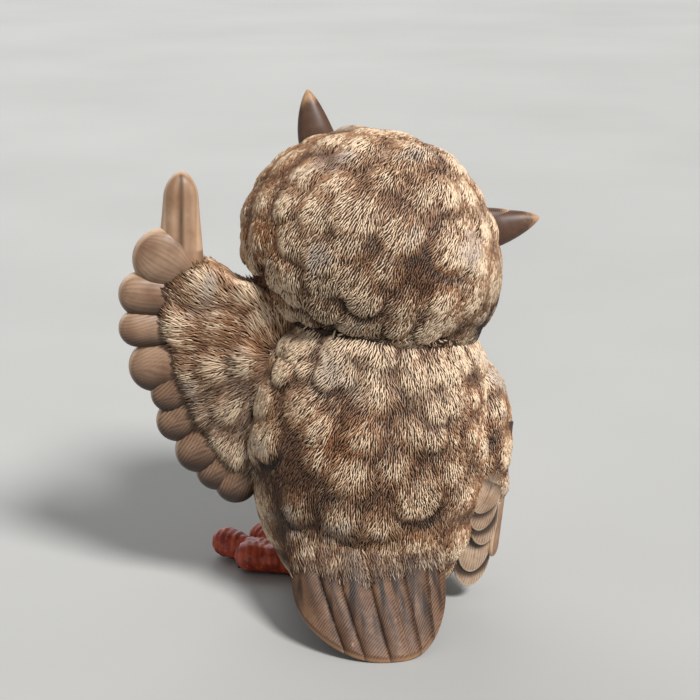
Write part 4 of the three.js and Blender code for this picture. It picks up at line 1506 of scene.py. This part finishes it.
@dataclass
class RaisedWing:
    """The waving wing: a furry arm, rounded feathers down its outer edge and one upright like a thumb."""

    shoulder_rise: float = 0.46
    shoulder_back: float = 2 * MM
    thickness: float = 12 * MM
    comb_from: tuple[float, float] = (-10 * MM, 5 * MM)
    thumb_place: float = 23 * MM
    thumb_top: float = 64.6 * MM
    thumb_length: float = 38 * MM
    thumb_half_width: float = 5.2 * MM
    clump_pitch: float = 15 * MM
    clump_radius: float = 10 * MM
    clump_height: float = 1.6 * MM
    outline: tuple = (
        (-24, 20), (-8, 24), (4, 29), (11, 33.5), (15, 36), (22, 34), (29, 29.5), (30, 24),
        (28.5, 16), (26, 6),
        (23, -4), (19, -16), (12, -27), (3, -36), (-8, -41), (-24, -34),
    )  # fmt: skip
    # Each finger: how far out and up its round end's middle is, its turn, its radius and its depth.
    fingers: tuple = (
        (28.4, 37.2, 32, 9.9, 5.0), (35.7, 26.0, 8, 7.3, 5.4), (37.3, 15.3, 2, 6.0, 4.8),
        (32.2, 2.6, -14, 8.4, 5.3),
        (27.6, -6.2, -28, 6.4, 4.8), (25.6, -15.8, -36, 6.9, 5.0), (19.2, -25.6, -44, 7.6, 5.1),
        (13.2, -32.6, -50, 7.2, 5.1), (7.4, -37.2, -56, 7.0, 5.0),
    )  # fmt: skip
    smooth_fingers: int = 4

    def shoulder(self, torso: Torso) -> np.ndarray:
        """Gives the point on the torso that the wing's sizes are counted from."""
        height = torso.middle[2] + self.shoulder_rise * torso.half_height
        return torso.on_skin(0.0, height) + np.array([0.0, self.shoulder_back, 0.0])

    def build(self, torso: Torso) -> None:
        """Makes the arm, its strokes and its feathers."""
        at = self.shoulder(torso)
        self.arm(at)
        self.edge(at)
        self.thumb(at)

    def arm(self, at: np.ndarray) -> None:
        """Makes the arm with its clumps and strokes."""
        work = bmesh.new()
        face = at[1] - self.thickness / 2
        rim = [work.verts.new((at[0] + x * MM, face, at[2] + z * MM)) for x, z in self.outline]
        sheet = work.faces.new(rim)
        grown = bmesh.ops.extrude_face_region(work, geom=[sheet])
        moved = [item for item in grown["geom"] if isinstance(item, bmesh.types.BMVert)]
        bmesh.ops.translate(work, verts=moved, vec=(0.0, self.thickness, 0.0))
        bmesh.ops.recalc_face_normals(work, faces=work.faces)
        points, faces = melted("arm_blank", work, 0.8 * MM, 26)
        normals = normals_of(points, faces)
        origin = at + np.array([self.comb_from[0], 0.0, self.comb_from[1]])
        spots, hangs = [], []
        rng = np.random.default_rng(14)
        for row, radius in enumerate((15 * MM, 26 * MM, 37 * MM)):
            span = math.radians(235.0)
            count = round(radius * span / self.clump_pitch)
            for k in range(count):
                turn = math.radians(-125.0) + span * (k + 0.5 * (row % 2) + rng.uniform(-0.15, 0.15)) / count
                way = np.array([math.cos(turn), 0.0, math.sin(turn)])
                for face in (-1.0, 1.0):
                    spots.append(origin + radius * way + np.array([0.0, face * self.thickness / 2, 0.0]))
                    hangs.append(way)
        clumps = clumps_at(np.array(spots), np.array(hangs), self.clump_radius, self.clump_height, 0.15, 14)
        relief = clumps.relief(points)
        away = points - origin
        away[:, 1] *= 0.15
        sway = 0.22 * waves(points, 15 * MM, 9)[:, None] * np.array([0.6, 0.0, -1.0])
        flow = unit(away) + 0.3 * relief["splay"] + sway
        # Painted shade on the lower part of the arm.
        painted_shade = 0.8 * smooth((at[2] + 14 * MM - points[:, 2]) / (24 * MM)) * (1.0 - 0.5 * relief["crown"])
        marks = {
            "flow": unit(tangent(flow, normals)),
            "crown": relief["crown"],
            "wash": np.maximum(relief["wash"], painted_shade),
            "cream": np.zeros(len(points)),
            "grown": (points[:, 0] > at[0] - 12 * MM).astype(float),
            "reach": np.full(len(points), 1.08),
        }
        lift = relief["lift"] - 0.8 * MM + 0.25 * MM * waves(points, 9 * MM, 2)
        points = points + normals * lift[:, None]
        skin = mesh_piece("raised_wing_arm", points, faces, FINISHES["ground"], marks)
        rows = StrokeRows(length=5.2 * MM, width=0.7 * MM, height=0.68 * MM, unevenness=0.3, seed=11)
        for piece in rows.cut(skin, "raised_wing"):
            hand_over(piece, Slot.PLUMAGE, "raised_left_wing")
        hand_over(skin, Slot.PLUMAGE, "raised_left_wing")

    def edge(self, at: np.ndarray) -> None:
        """Makes the rounded feathers down the outer edge, the upper ones smoother than the rest."""
        for i, (out, up, turn, radius, depth) in enumerate(self.fingers):
            first, lined, upper = i == 0, i < 2, i < self.smooth_fingers
            angle = math.radians(turn)
            along = np.array([math.cos(angle), 0.0, math.sin(angle)])
            back = (1.3 if first else 2.0) * radius * MM
            middle = at + np.array([out, 0.4 - 0.8 * (i % 2), up]) * MM
            feather = Feather(
                middle - back * along, along, np.array([0.0, 1.0, 0.0]),
                back + radius * MM, radius * MM, depth * MM,
                root_share=0.3 if first else 0.9, root_reach=0.6,
                barbs=Barbs.LENGTHWISE if lined else Barbs.ACROSS, pitch=(1.5 if lined else 1.0) * MM,
                depth=(0.05 if lined else 0.12) * MM, root_shade=0.0 if upper else 0.8,
                underside=0.5 if first else 1.0,
            )  # fmt: skip
            finish = FINISHES["finger" if upper else "barbed"]
            hand_over(feather_piece(f"wing_feather_{i + 1}", finish, feather), Slot.QUILL, "raised_left_wing")

    def thumb(self, at: np.ndarray) -> None:
        """Makes the upright feather."""
        root = at + np.array([self.thumb_place + 0.6 * MM, -0.5 * MM, self.thumb_top - self.thumb_length])
        thumb = Feather(
            root, np.array([-0.03, 0.0, 1.0]), np.array([0.0, 1.0, 0.0]),
            self.thumb_length, self.thumb_half_width, 4.6 * MM,
            root_share=1.45, root_reach=1.0, roundness=1.6, point=(2.0, 0.6),
            barbs=Barbs.LENGTHWISE, pitch=2.8 * MM, depth=0.05 * MM, shaft_depth=0.22 * MM, root_shade=0.0,
        )  # fmt: skip
        hand_over(feather_piece("wing_thumb", FINISHES["thumb"], thumb), Slot.QUILL, "raised_left_wing")


@dataclass
class FoldedWing:
    """The folded wing: a raised cover on the owl's right flank and five layered feathers below it."""

    torso: Torso
    azimuth: float = 171.0
    height: float = 52 * MM
    half_turn: float = 34.0
    half_height: float = 35 * MM
    thickness: float = 2.2 * MM
    blade_root: tuple[float, float, float] = (-34.0 * MM, 16.5 * MM, 56 * MM)
    blade_half_thickness: float = 1.6 * MM
    # Each blade, from the innermost: its tip's place across, back and up, and its half width.
    blades: tuple = (
        (-30.2, 14.0, 5.4, 6.9), (-30.3, 16.2, 11.4, 6.1), (-33.2, 19.0, 21.8, 5.2), (-31.4, 21.0, 27.6, 5.1),
        (-30.6, 22.8, 34.3, 4.8),
    )  # fmt: skip
    edge_blade: tuple = (-37.6, 14.0, 15.5, 3.0)

    def share(self, points: np.ndarray) -> np.ndarray:
        """Says how far out from the cover's middle points are: 1 is on its rim."""
        across = points[:, 0] * self.torso.half_depth / self.torso.half_width
        turn = np.degrees(np.arctan2(points[:, 1], across))
        turn = (turn - self.azimuth + 180.0) % 360.0 - 180.0
        return np.hypot(turn / self.half_turn, (points[:, 2] - self.height) / self.half_height)

    def covers(self, points: np.ndarray) -> np.ndarray:
        """Says, from 0 to 1, how far under the cover points of the torso are."""
        return 1.0 - smooth((self.share(points) - 0.62) / 0.2)

    def build(self) -> None:
        """Makes the cover and the feathers."""
        self.cover()
        self.layers()

    def cover(self) -> None:
        """Makes the cover as a lens on the torso's flank, with clumps and strokes."""
        rings, around = 52, 150
        share = np.linspace(0.0, 1.0, rings + 1)[1:]
        turn = np.linspace(0.0, 2.0 * math.pi, around, endpoint=False)
        share, turn = np.meshgrid(share, turn, indexing="ij")
        azimuth = self.azimuth + self.half_turn * share * np.cos(turn)
        height = self.height + self.half_height * share * np.sin(turn)
        flat = [self.torso.on_skin(a, h) for a, h in zip(azimuth.ravel(), height.ravel())]
        flat.append(self.torso.on_skin(self.azimuth, self.height))
        bare = np.array(flat)
        normals = self.torso.normals_at(bare)
        spots = self.torso.middle + lattice(self.torso.halves, 0.72, 2.62, 11 * MM, 41)[0]
        hangs = unit(tangent(np.tile(-UP, (len(spots), 1)), self.torso.normals_at(spots)))
        clumps = clumps_at(spots, hangs, 7.6 * MM, 1.7 * MM, 0.4, 17)
        relief = clumps.relief(bare)
        inside = np.append(share.ravel(), 0.0)
        fade = smooth((1.0 - inside) / 0.5)
        sunk = 2.6 * MM
        outer = bare + normals * ((self.thickness + sunk) * fade - sunk + relief["lift"] * fade)[:, None]
        inner = bare - (sunk + 0.3 * MM) * normals
        count = len(bare)
        points = np.concatenate([outer, inner])
        faces: list[list[int]] = []
        for i in range(rings - 1):
            for j in range(around):
                k = (j + 1) % around
                quad = [i * around + j, (i + 1) * around + j, (i + 1) * around + k, i * around + k]
                faces += [quad, [corner + count for corner in reversed(quad)]]
        rim = (rings - 1) * around
        for j in range(around):
            k = (j + 1) % around
            faces += [[count - 1, j, k], [2 * count - 1, k + count, j + count]]
            faces.append([rim + j, rim + j + count, rim + k + count, rim + k])
        top = np.concatenate([np.ones(count), np.zeros(count)])
        both = {key: np.concatenate([relief[key]] * 2) for key in ("crown", "wash")}
        flow = self.torso.flow(bare, normals, relief["splay"])
        marks = {
            "flow": np.concatenate([flow, flow]),
            **both,
            "cream": np.zeros(2 * count),
            "grown": top * np.concatenate([inside < 0.9] * 2),
            "reach": np.full(2 * count, 0.72),
        }
        skin = mesh_piece("folded_wing_cover", points, faces, FINISHES["ground"], marks)
        turn_outwards(skin.data)
        for piece in StrokeRows(seed=19).cut(skin, "folded_wing", self.torso.base_height):
            hand_over(piece, Slot.PLUMAGE, "folded_right_wing")
        hand_over(skin, Slot.PLUMAGE, "folded_right_wing")

    def layers(self) -> None:
        """Makes the layered feathers, the longest innermost, and the one along the wing's edge."""
        for i, (across, back, up, half_width) in enumerate((*self.blades, self.edge_blade)):
            edge = i == len(self.blades)
            outwards = np.array([-9.4, -7.5, 4.0]) * MM if edge else np.array([-0.5, 1.25, -3.0]) * i * MM
            root = np.array(self.blade_root) + outwards
            tip = np.array([across, back, up]) * MM
            face = np.array([-0.9, 0.45, 0.0]) if edge else np.array([-0.35, 0.9, 0.12])
            feather = Feather(
                root, tip - root, face,
                float(np.linalg.norm(tip - root)), half_width * MM, self.blade_half_thickness,
                root_share=0.75, roundness=1.5, point=(2.0, 0.55),
                barbs=Barbs.FAN, pitch=0.75 * MM, depth=0.1 * MM,
                root_shade=0.9,
            )  # fmt: skip
            piece = feather_piece(f"folded_feather_{i + 1}", FINISHES["finger" if edge else "blade"], feather)
            if i < len(self.blades) - 1:
                self.shade_under(piece.data, *self.blades[i + 1])
            piece.data.vertices.foreach_set("co", self.on_ground(piece.data).ravel())
            hand_over(piece, Slot.QUILL, "folded_right_wing")

    def shade_under(
        self, mesh: bpy.types.Mesh, across: float, back: float, up: float, half_width: float
    ) -> None:
        """Darkens a feather just past the tip of the one that lies over it."""
        points, _ = arrays_of(mesh)
        tip = np.array([across, back, up]) * MM
        middle = tip + unit(np.array(self.blade_root) - tip) * half_width * MM
        past = np.linalg.norm(points - middle, axis=1) - half_width * MM
        shade = np.maximum(mark_of(mesh, "shade"), 1.0 - smooth((past - 0.8 * MM) / (2.4 * MM)))
        mesh.attributes["shade"].data.foreach_set("value", shade.astype(np.float32))

    def on_ground(self, mesh: bpy.types.Mesh) -> np.ndarray:
        """Keeps a feather's points above the ground."""
        points, _ = arrays_of(mesh)
        points[:, 2] = np.maximum(points[:, 2], self.torso.base_height)
        return points.astype(np.float32)


@dataclass
class TailFan:
    """The tail: seven feathers carved as one fan that slopes down to the ground."""

    torso: Torso
    length: float = 36.9 * MM
    root_half_width: float = 24.5 * MM
    half_width: float = 22.6 * MM
    offset: float = 5.5 * MM
    thickness: float = 5 * MM
    slope: float = 43.0
    buried: float = 12 * MM
    ground: float = 1.6 * MM
    rise: float = 0.42
    inset: float = 4 * MM
    feathers: int = 7
    columns: int = 180
    rows: int = 120

    def build(self) -> None:
        """Makes the fan as a closed plate with carved feathers on its upper side."""
        slope = math.radians(self.slope)
        down = np.array([0.0, math.cos(slope), -math.sin(slope)])
        up = np.array([0.0, math.sin(slope), math.cos(slope)])
        right = np.array([1.0, 0.0, 0.0])
        root_height = self.torso.base_height + self.rise * (self.torso.half_height - self.torso.base_cut)
        root_y = self.torso.on_skin(90.0, root_height)[1] - self.inset
        drop = self.length * math.sin(slope) + self.thickness / 2 * math.cos(slope) - self.ground
        origin = np.array([self.offset, root_y, drop])
        ticks = np.linspace(0.0, 1.0, self.rows), np.linspace(-1.0, 1.0, self.columns)
        v, s = np.meshgrid(*ticks, indexing="ij")
        end = self.end_at(s)
        travelled = -self.buried + v * (end + self.buried)
        side = s * self.spread(travelled)
        local, shaft, edge = self.carving(s, v)
        flat = np.stack([side.ravel(), travelled.ravel(), side.ravel() * 0], -1)
        bent = waves(flat, 9 * MM, 29).reshape(s.shape)
        turns = (0.8 * travelled - side) / (0.95 * MM)
        barb = 0.5 + 0.5 * np.sin(2.0 * math.pi * turns + 2.6 * bent - 2.2 * shaft**2)
        rim_fade = smooth((1.0 - v) / 0.025) * smooth((1.0 - np.abs(s)) / 0.03)
        body = smooth((1.0 - v) / 0.4) * smooth((1.0 - np.abs(s)) / 0.2)
        arch = -2.2 * MM * (s**2) + 0.9 * MM * np.sin(math.pi * v)
        cut = (local + (barb - 0.5) * 0.3 * MM) * rim_fade
        top = 0.45 * self.thickness * (0.1 + 0.2 * rim_fade + 0.7 * body) + arch + cut
        bottom = arch - 0.5 * self.thickness * (0.2 + 0.8 * body)
        base = origin + side[..., None] * right + travelled[..., None] * down
        layers = [(base + height[..., None] * up).reshape(-1, 3) for height in (top, bottom)]
        points = np.concatenate(layers)
        points[:, 2] = np.maximum(points[:, 2], 0.0)
        count = self.rows * self.columns
        corner = (np.arange(self.rows - 1)[:, None] * self.columns + np.arange(self.columns - 1)).reshape(-1)
        upper = np.stack([corner, corner + self.columns, corner + self.columns + 1, corner + 1], -1)
        loop = np.concatenate([
            np.arange(self.columns - 1), np.arange(self.rows - 1) * self.columns + self.columns - 1,
            np.arange(count - 1, count - self.columns, -1), np.arange(self.rows - 1, 0, -1) * self.columns,
        ])  # fmt: skip
        after = np.roll(loop, -1)
        walls = np.stack([loop, after, after + count, loop + count], -1)
        faces = np.concatenate([upper, upper[:, ::-1] + count, walls])
        both = lambda values: np.concatenate([values.ravel(), values.ravel()])  # noqa: E731
        drawn_out = np.stack([side.ravel(), travelled.ravel() * 0.22, side.ravel() * 0], -1)
        streak = smooth((waves(drawn_out, 4 * MM, 31) - 0.1) / 0.6)
        fleck = waves(np.stack([side.ravel(), travelled.ravel() * 0.45, side.ravel() * 0], -1), 2.6 * MM, 37)
        fleck = 0.8 * smooth((fleck.reshape(v.shape) - 1.25) / 0.4)
        line = np.exp(-((shaft / 0.22) ** 2)) * 0.6 + streak.reshape(v.shape) * 0.8
        border = np.maximum(1.0 - smooth((1.0 - v) / 0.022), 1.0 - smooth((1.0 - np.abs(s)) / 0.025))
        marks = {
            "barb": both(barb),
            "rim": both(fleck + border),
            "shaft": both(np.clip(line, 0.0, 1.0) * smooth((1.0 - v) / 0.3)),
            "shade": both(np.clip(edge * 0.95, 0.0, 1.0)),
            "along": both(v),
        }
        reach = 10 * MM - 6.5 * MM * s**2 + 1.6 * MM * np.sin(9.0 * s + 1.0) * np.cos(4.0 * s)
        furry = 1.0 - smooth((travelled - reach) / (2.5 * MM))
        hang = np.tile(down + np.array([-0.06, 0.0, 0.0]), (2 * count, 1))
        marks.update(
            flow=unit(hang + 0.14 * waves(points, 12 * MM, 15)[:, None] * right),
            crown=np.clip(0.5 + 0.5 * waves(points, 9 * MM, 16), 0.0, 1.0),
            wash=0.4 + 0.3 * both(furry * smooth((travelled - reach + 5 * MM) / (5 * MM))),
            shade=np.maximum(marks["shade"], both(0.75 * (1.0 - smooth((travelled - reach) / (6 * MM))))),
            cream=np.zeros(2 * count),
            grown=np.concatenate([furry.ravel(), np.zeros(count)]),
            reach=np.full(2 * count, 0.95),
        )
        piece = mesh_piece("tail_feathers", points, faces, FINISHES["tail"], marks)
        turn_outwards(piece.data)
        for fur in StrokeRows(seed=23).cut(piece, "tail_root"):
            hand_over(fur, Slot.PLUMAGE, "tail_fan")
        hand_over(piece, Slot.QUILL, "tail_fan")

    def end_at(self, s: np.ndarray) -> np.ndarray:
        """Gives how far the fan reaches at a place across it."""
        square = self.length - self.half_width * 1.1
        moved = s + 0.18 * (1.0 - s**2)
        return square + (self.length - square) * np.sqrt(np.clip(1.0 - np.abs(moved) ** 2.3, 0.0, 1.0))

    def spread(self, travelled: np.ndarray) -> np.ndarray:
        """Gives the fan's half width at a distance along it."""
        wider = self.half_width - self.root_half_width
        return self.root_half_width + wider * smooth(travelled / self.length)

    def carving(self, s: np.ndarray, v: np.ndarray) -> tuple[np.ndarray, np.ndarray, np.ndarray]:
        """Steps the feathers over each other.

        Args:
            s: place across the fan, from -1 to 1.
            v: place along it, from 0 to 1.

        Returns:
            The height, the place across each feather from -1 to 1, and the painted shade under its edge.
        """
        lean = s + (0.3 * v**2 + 0.05 * np.sin(4.0 * v + 7.0 * s)) * (1.0 - s**2)
        place = (lean + 1.0) / 2.0 * self.feathers
        order = np.clip(np.floor(place), 0, self.feathers - 1)
        across = (place - order) * 2.0 - 1.0
        centre = (self.feathers - 1) / 2.0
        tucked = np.abs(order - centre)
        outer = np.where(order < centre, across, -across)
        step = 0.75 * MM * smooth((outer + 1.0) / 0.24) - 0.1 * MM * tucked
        dome = 0.45 * MM * (1.0 - across**2)
        seam = np.maximum(np.exp(-(((1.0 + outer) / 0.13) ** 2)), 0.6 * (1.0 - smooth((1.0 + outer) / 0.8)))
        return step + dome - 0.3 * MM * seam, across, seam


@dataclass
class Foot:
    """A foot: three rounded toes and a heel around an ankle, with small claws."""

    torso: Torso
    side: Side
    splay: float
    toe_radius: float = 4.8 * MM
    place: float = 0.74
    leg_radius: float = 6 * MM
    toes: tuple = ((-30, 22), (-2, 28), (22, 16), (180, 5))

    def build(self) -> None:
        """Makes the foot and its claws."""
        heading = math.radians(self.splay)
        direction = np.array([self.side.value * math.sin(heading), -math.cos(heading), 0.0])
        ankle = direction * min(self.torso.half_width, self.torso.half_depth) * self.place
        start = math.atan2(direction[1], direction[0])
        work = bmesh.new()
        claws = []
        for turn, length in self.toes:
            angle = start + self.side.value * math.radians(turn)
            way = np.array([math.cos(angle), math.sin(angle), 0.0])
            for k in range(9):
                t = k / 8.0
                bulge = 0.94 + 0.07 * math.sin(t * math.pi * 4.5 + 0.6) + 0.12 * t**2
                radius = self.toe_radius * bulge
                at = ankle + way * length * MM * t
                self.blob(work, (at[0], at[1], radius * 0.86 + 1.2 * MM * t), radius)
            if length > 10:
                claws.append((ankle + way * (length * MM), way))
        for k in range(5):
            t = k / 4.0
            at = (ankle[0], ankle[1], self.toe_radius + t * 9 * MM)
            self.blob(work, at, self.leg_radius - 0.8 * MM * t)
        points, faces = melted("foot_blank", work, 0.65 * MM, 10)
        normals = normals_of(points, faces)
        away = np.linalg.norm((points - ankle)[:, :2], axis=1)
        ripple = np.sin(2.0 * math.pi * away / (2.3 * MM) + 0.7 * waves(points, 6 * MM, 8))
        upper = smooth((points[:, 2] - 2.5 * MM) / (3 * MM))
        lift = 0.16 * MM * ripple * upper + 0.12 * MM * waves(points, 3 * MM, 12)
        points = points + normals * lift[:, None]
        points[:, 2] = np.maximum(points[:, 2], 0.0)
        name = self.side.name.lower()
        # Painted shade in the creases between the ripples.
        marks = {"crease": np.clip(-ripple, 0.0, 1.0) * 0.3 * upper}
        skin = mesh_piece(f"{name}_foot_casting", points, faces, FINISHES["foot"], marks)
        hand_over(skin, Slot.FOOT, f"{name}_foot")
        shapes = [
            Feather(
                tip + np.array([0.0, 0.0, 5.2 * MM]) - way * 0.5 * MM, way * 0.9 - 0.62 * UP,
                UP + 0.5 * way, 6.2 * MM,
                1.5 * MM, 1.3 * MM, root_share=1.0, roundness=4.0, bend=-0.08, barbs=Barbs.LENGTHWISE,
                pitch=1.0 * MM, depth=0.03 * MM, rings=24, around=24,
            )
            for tip, way in claws
        ]  # fmt: skip
        piece = feather_piece(f"{name}_claws", FINISHES["claw"], *shapes)
        co, _ = arrays_of(piece.data)
        co[:, 2] = np.maximum(co[:, 2], 0.05 * MM)
        piece.data.vertices.foreach_set("co", co.astype(np.float32).ravel())
        hand_over(piece, Slot.HORN, f"{name}_foot")

    def blob(self, work: bmesh.types.BMesh, at: tuple[float, float, float], radius: float) -> None:
        """Adds one ball to the solids that are fused into the foot."""
        place = Matrix.Translation(Vector(at))
        bmesh.ops.create_icosphere(work, subdivisions=3, radius=radius, matrix=place)


class Studio:
    """The pale floor, the soft lights and the camera."""

    azimuth: float = 173.0
    elevation: float = 16.0
    distance: float = 0.56
    lens: float = 89.57
    aim: tuple[float, float, float] = (7.15 * MM, -0.88 * MM, 83 * MM)

    def build(self) -> None:
        """Sets up the studio."""
        self.camera()
        self.floor()
        self.lights()

    def camera(self) -> None:
        """Places the camera behind the owl, a little above it."""
        turn, lift = math.radians(self.azimuth), math.radians(self.elevation)
        back = Vector((math.sin(turn) * math.cos(lift), -math.cos(turn) * math.cos(lift), math.sin(lift)))
        data = bpy.data.cameras.new("camera")
        data.lens, data.sensor_width = self.lens, 36.0
        data.clip_start, data.clip_end = 0.01, 50.0
        camera = bpy.data.objects.new("camera", data)
        camera.location = Vector(self.aim) + self.distance * back
        camera.rotation_euler = back.to_track_quat("Z", "Y").to_euler()
        bpy.context.scene.collection.objects.link(camera)
        bpy.context.scene.camera = camera

    def floor(self) -> None:
        """Lays a wide pale floor."""
        half = 6.0
        board = Board("pale_floor")
        cloud = board.noise(0.25, 3.0)
        colour = board.blend(cloud, tone(164, 163, 160), tone(182, 181, 178))
        material = board.surface(Base_Color=colour, Roughness=0.8)
        corners = np.array([[-half, -half, 0.0], [half, -half, 0.0], [half, half, 0.0], [-half, half, 0.0]])
        mesh_piece("floor", corners, np.array([[0, 1, 2, 3]]), material)

    def lights(self) -> None:
        """Sets a broad key light high behind the owl, a weak fill before it and a pale sky."""
        world = bpy.data.worlds.new("sky")
        world.use_nodes = True
        world.node_tree.nodes["Background"].inputs["Color"].default_value = (0.9, 0.93, 0.96, 1.0)
        world.node_tree.nodes["Background"].inputs["Strength"].default_value = 0.36
        bpy.context.scene.world = world
        bpy.context.scene.view_settings.view_transform = "Standard"
        places = {
            "key": ((-0.34, 0.62, 0.71), 15.0, 4.2),
            "fill": ((0.2, -0.9, 0.5), 60.0, 1.1),
        }
        for name, (place, spread, strength) in places.items():
            light = bpy.data.lights.new(name, "SUN")
            light.angle, light.energy = math.radians(spread), strength
            lamp = bpy.data.objects.new(name, light)
            lamp.rotation_euler = Vector(place).to_track_quat("Z", "Y").to_euler()
            bpy.context.scene.collection.objects.link(lamp)


FINISHES: dict[str, bpy.types.Material] = {}


def mix_paints() -> None:
    """Makes each finish once."""
    FINISHES.update(
        plumage=CarvedPlumage().material(),
        ground=PlumageGround().material(),
        thumb=SmoothQuill(
            "thumb_paint", middle=tone(132, 96, 70), pale_share=0.4, dark_share=1.1, barb_share=0.3
        ).material(),
        finger=SmoothQuill(
            "finger_paint", middle=tone(108, 76, 56), pale_share=0.35, dark_share=0.15, barb_share=0.4
        ).material(),
        barbed=SmoothQuill(
            "barbed_paint", middle=tone(98, 68, 48), pale_share=0.15, dark_share=0.3, barb_share=0.9
        ).material(),
        blade=SmoothQuill(
            "blade_paint", middle=tone(146, 110, 84), pale=tone(228, 202, 174),
            pale_share=0.5, dark_share=0.1, barb_share=0.8,
        ).material(),
        tail=SmoothQuill(
            "tail_paint", middle=tone(78, 48, 30), pale=tone(168, 128, 96), streak=tone(26, 18, 14),
            pale_share=0.3, dark_share=1.6, barb_share=0.95, roughness=0.55,
        ).material(),
        horn=HornPaint().material(),
        claw=HornPaint(
            "claw_paint", dark=tone(34, 26, 24), middle=tone(60, 48, 44), tip=tone(96, 80, 70)
        ).material(),
        foot=FootPaint().material(),
        beak=BeakPaint().material(),
        glass=ClearGlass().material(),
        steel=DrawnSteel().material(),
        resin=BareResin().material(),
        felt=WoolFelt().material(),
    )


def dress_frame() -> None:
    """Gives the CAD nodes that stay their finishes."""
    kept = dict.fromkeys(("neck_pin", "wing_pin_1", "wing_pin_2"), "steel")
    kept.update(base_plug="resin", felt_pad="felt")
    for node, finish in kept.items():
        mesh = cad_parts[node].data
        mesh.materials.clear()
        mesh.materials.append(FINISHES[finish])
        LOG.info("%s: finish %s", node, finish)


def main() -> None:
    """Builds the owl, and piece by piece."""
    logging.basicConfig(level=logging.INFO, format="%(name)s: %(message)s")
    Studio().build()
    mix_paints()
    dress_frame()
    torso, head = Torso(), Head()
    folded = FoldedWing(torso)
    torso.build(head, folded)
    head.build()
    RaisedWing().build(torso)
    folded.build()
    TailFan(torso).build()
    Foot(torso, Side.LEFT, splay=56.0).build()
    Foot(torso, Side.RIGHT, splay=30.0).build()
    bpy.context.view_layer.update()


if __name__ == "__main__":
    main()
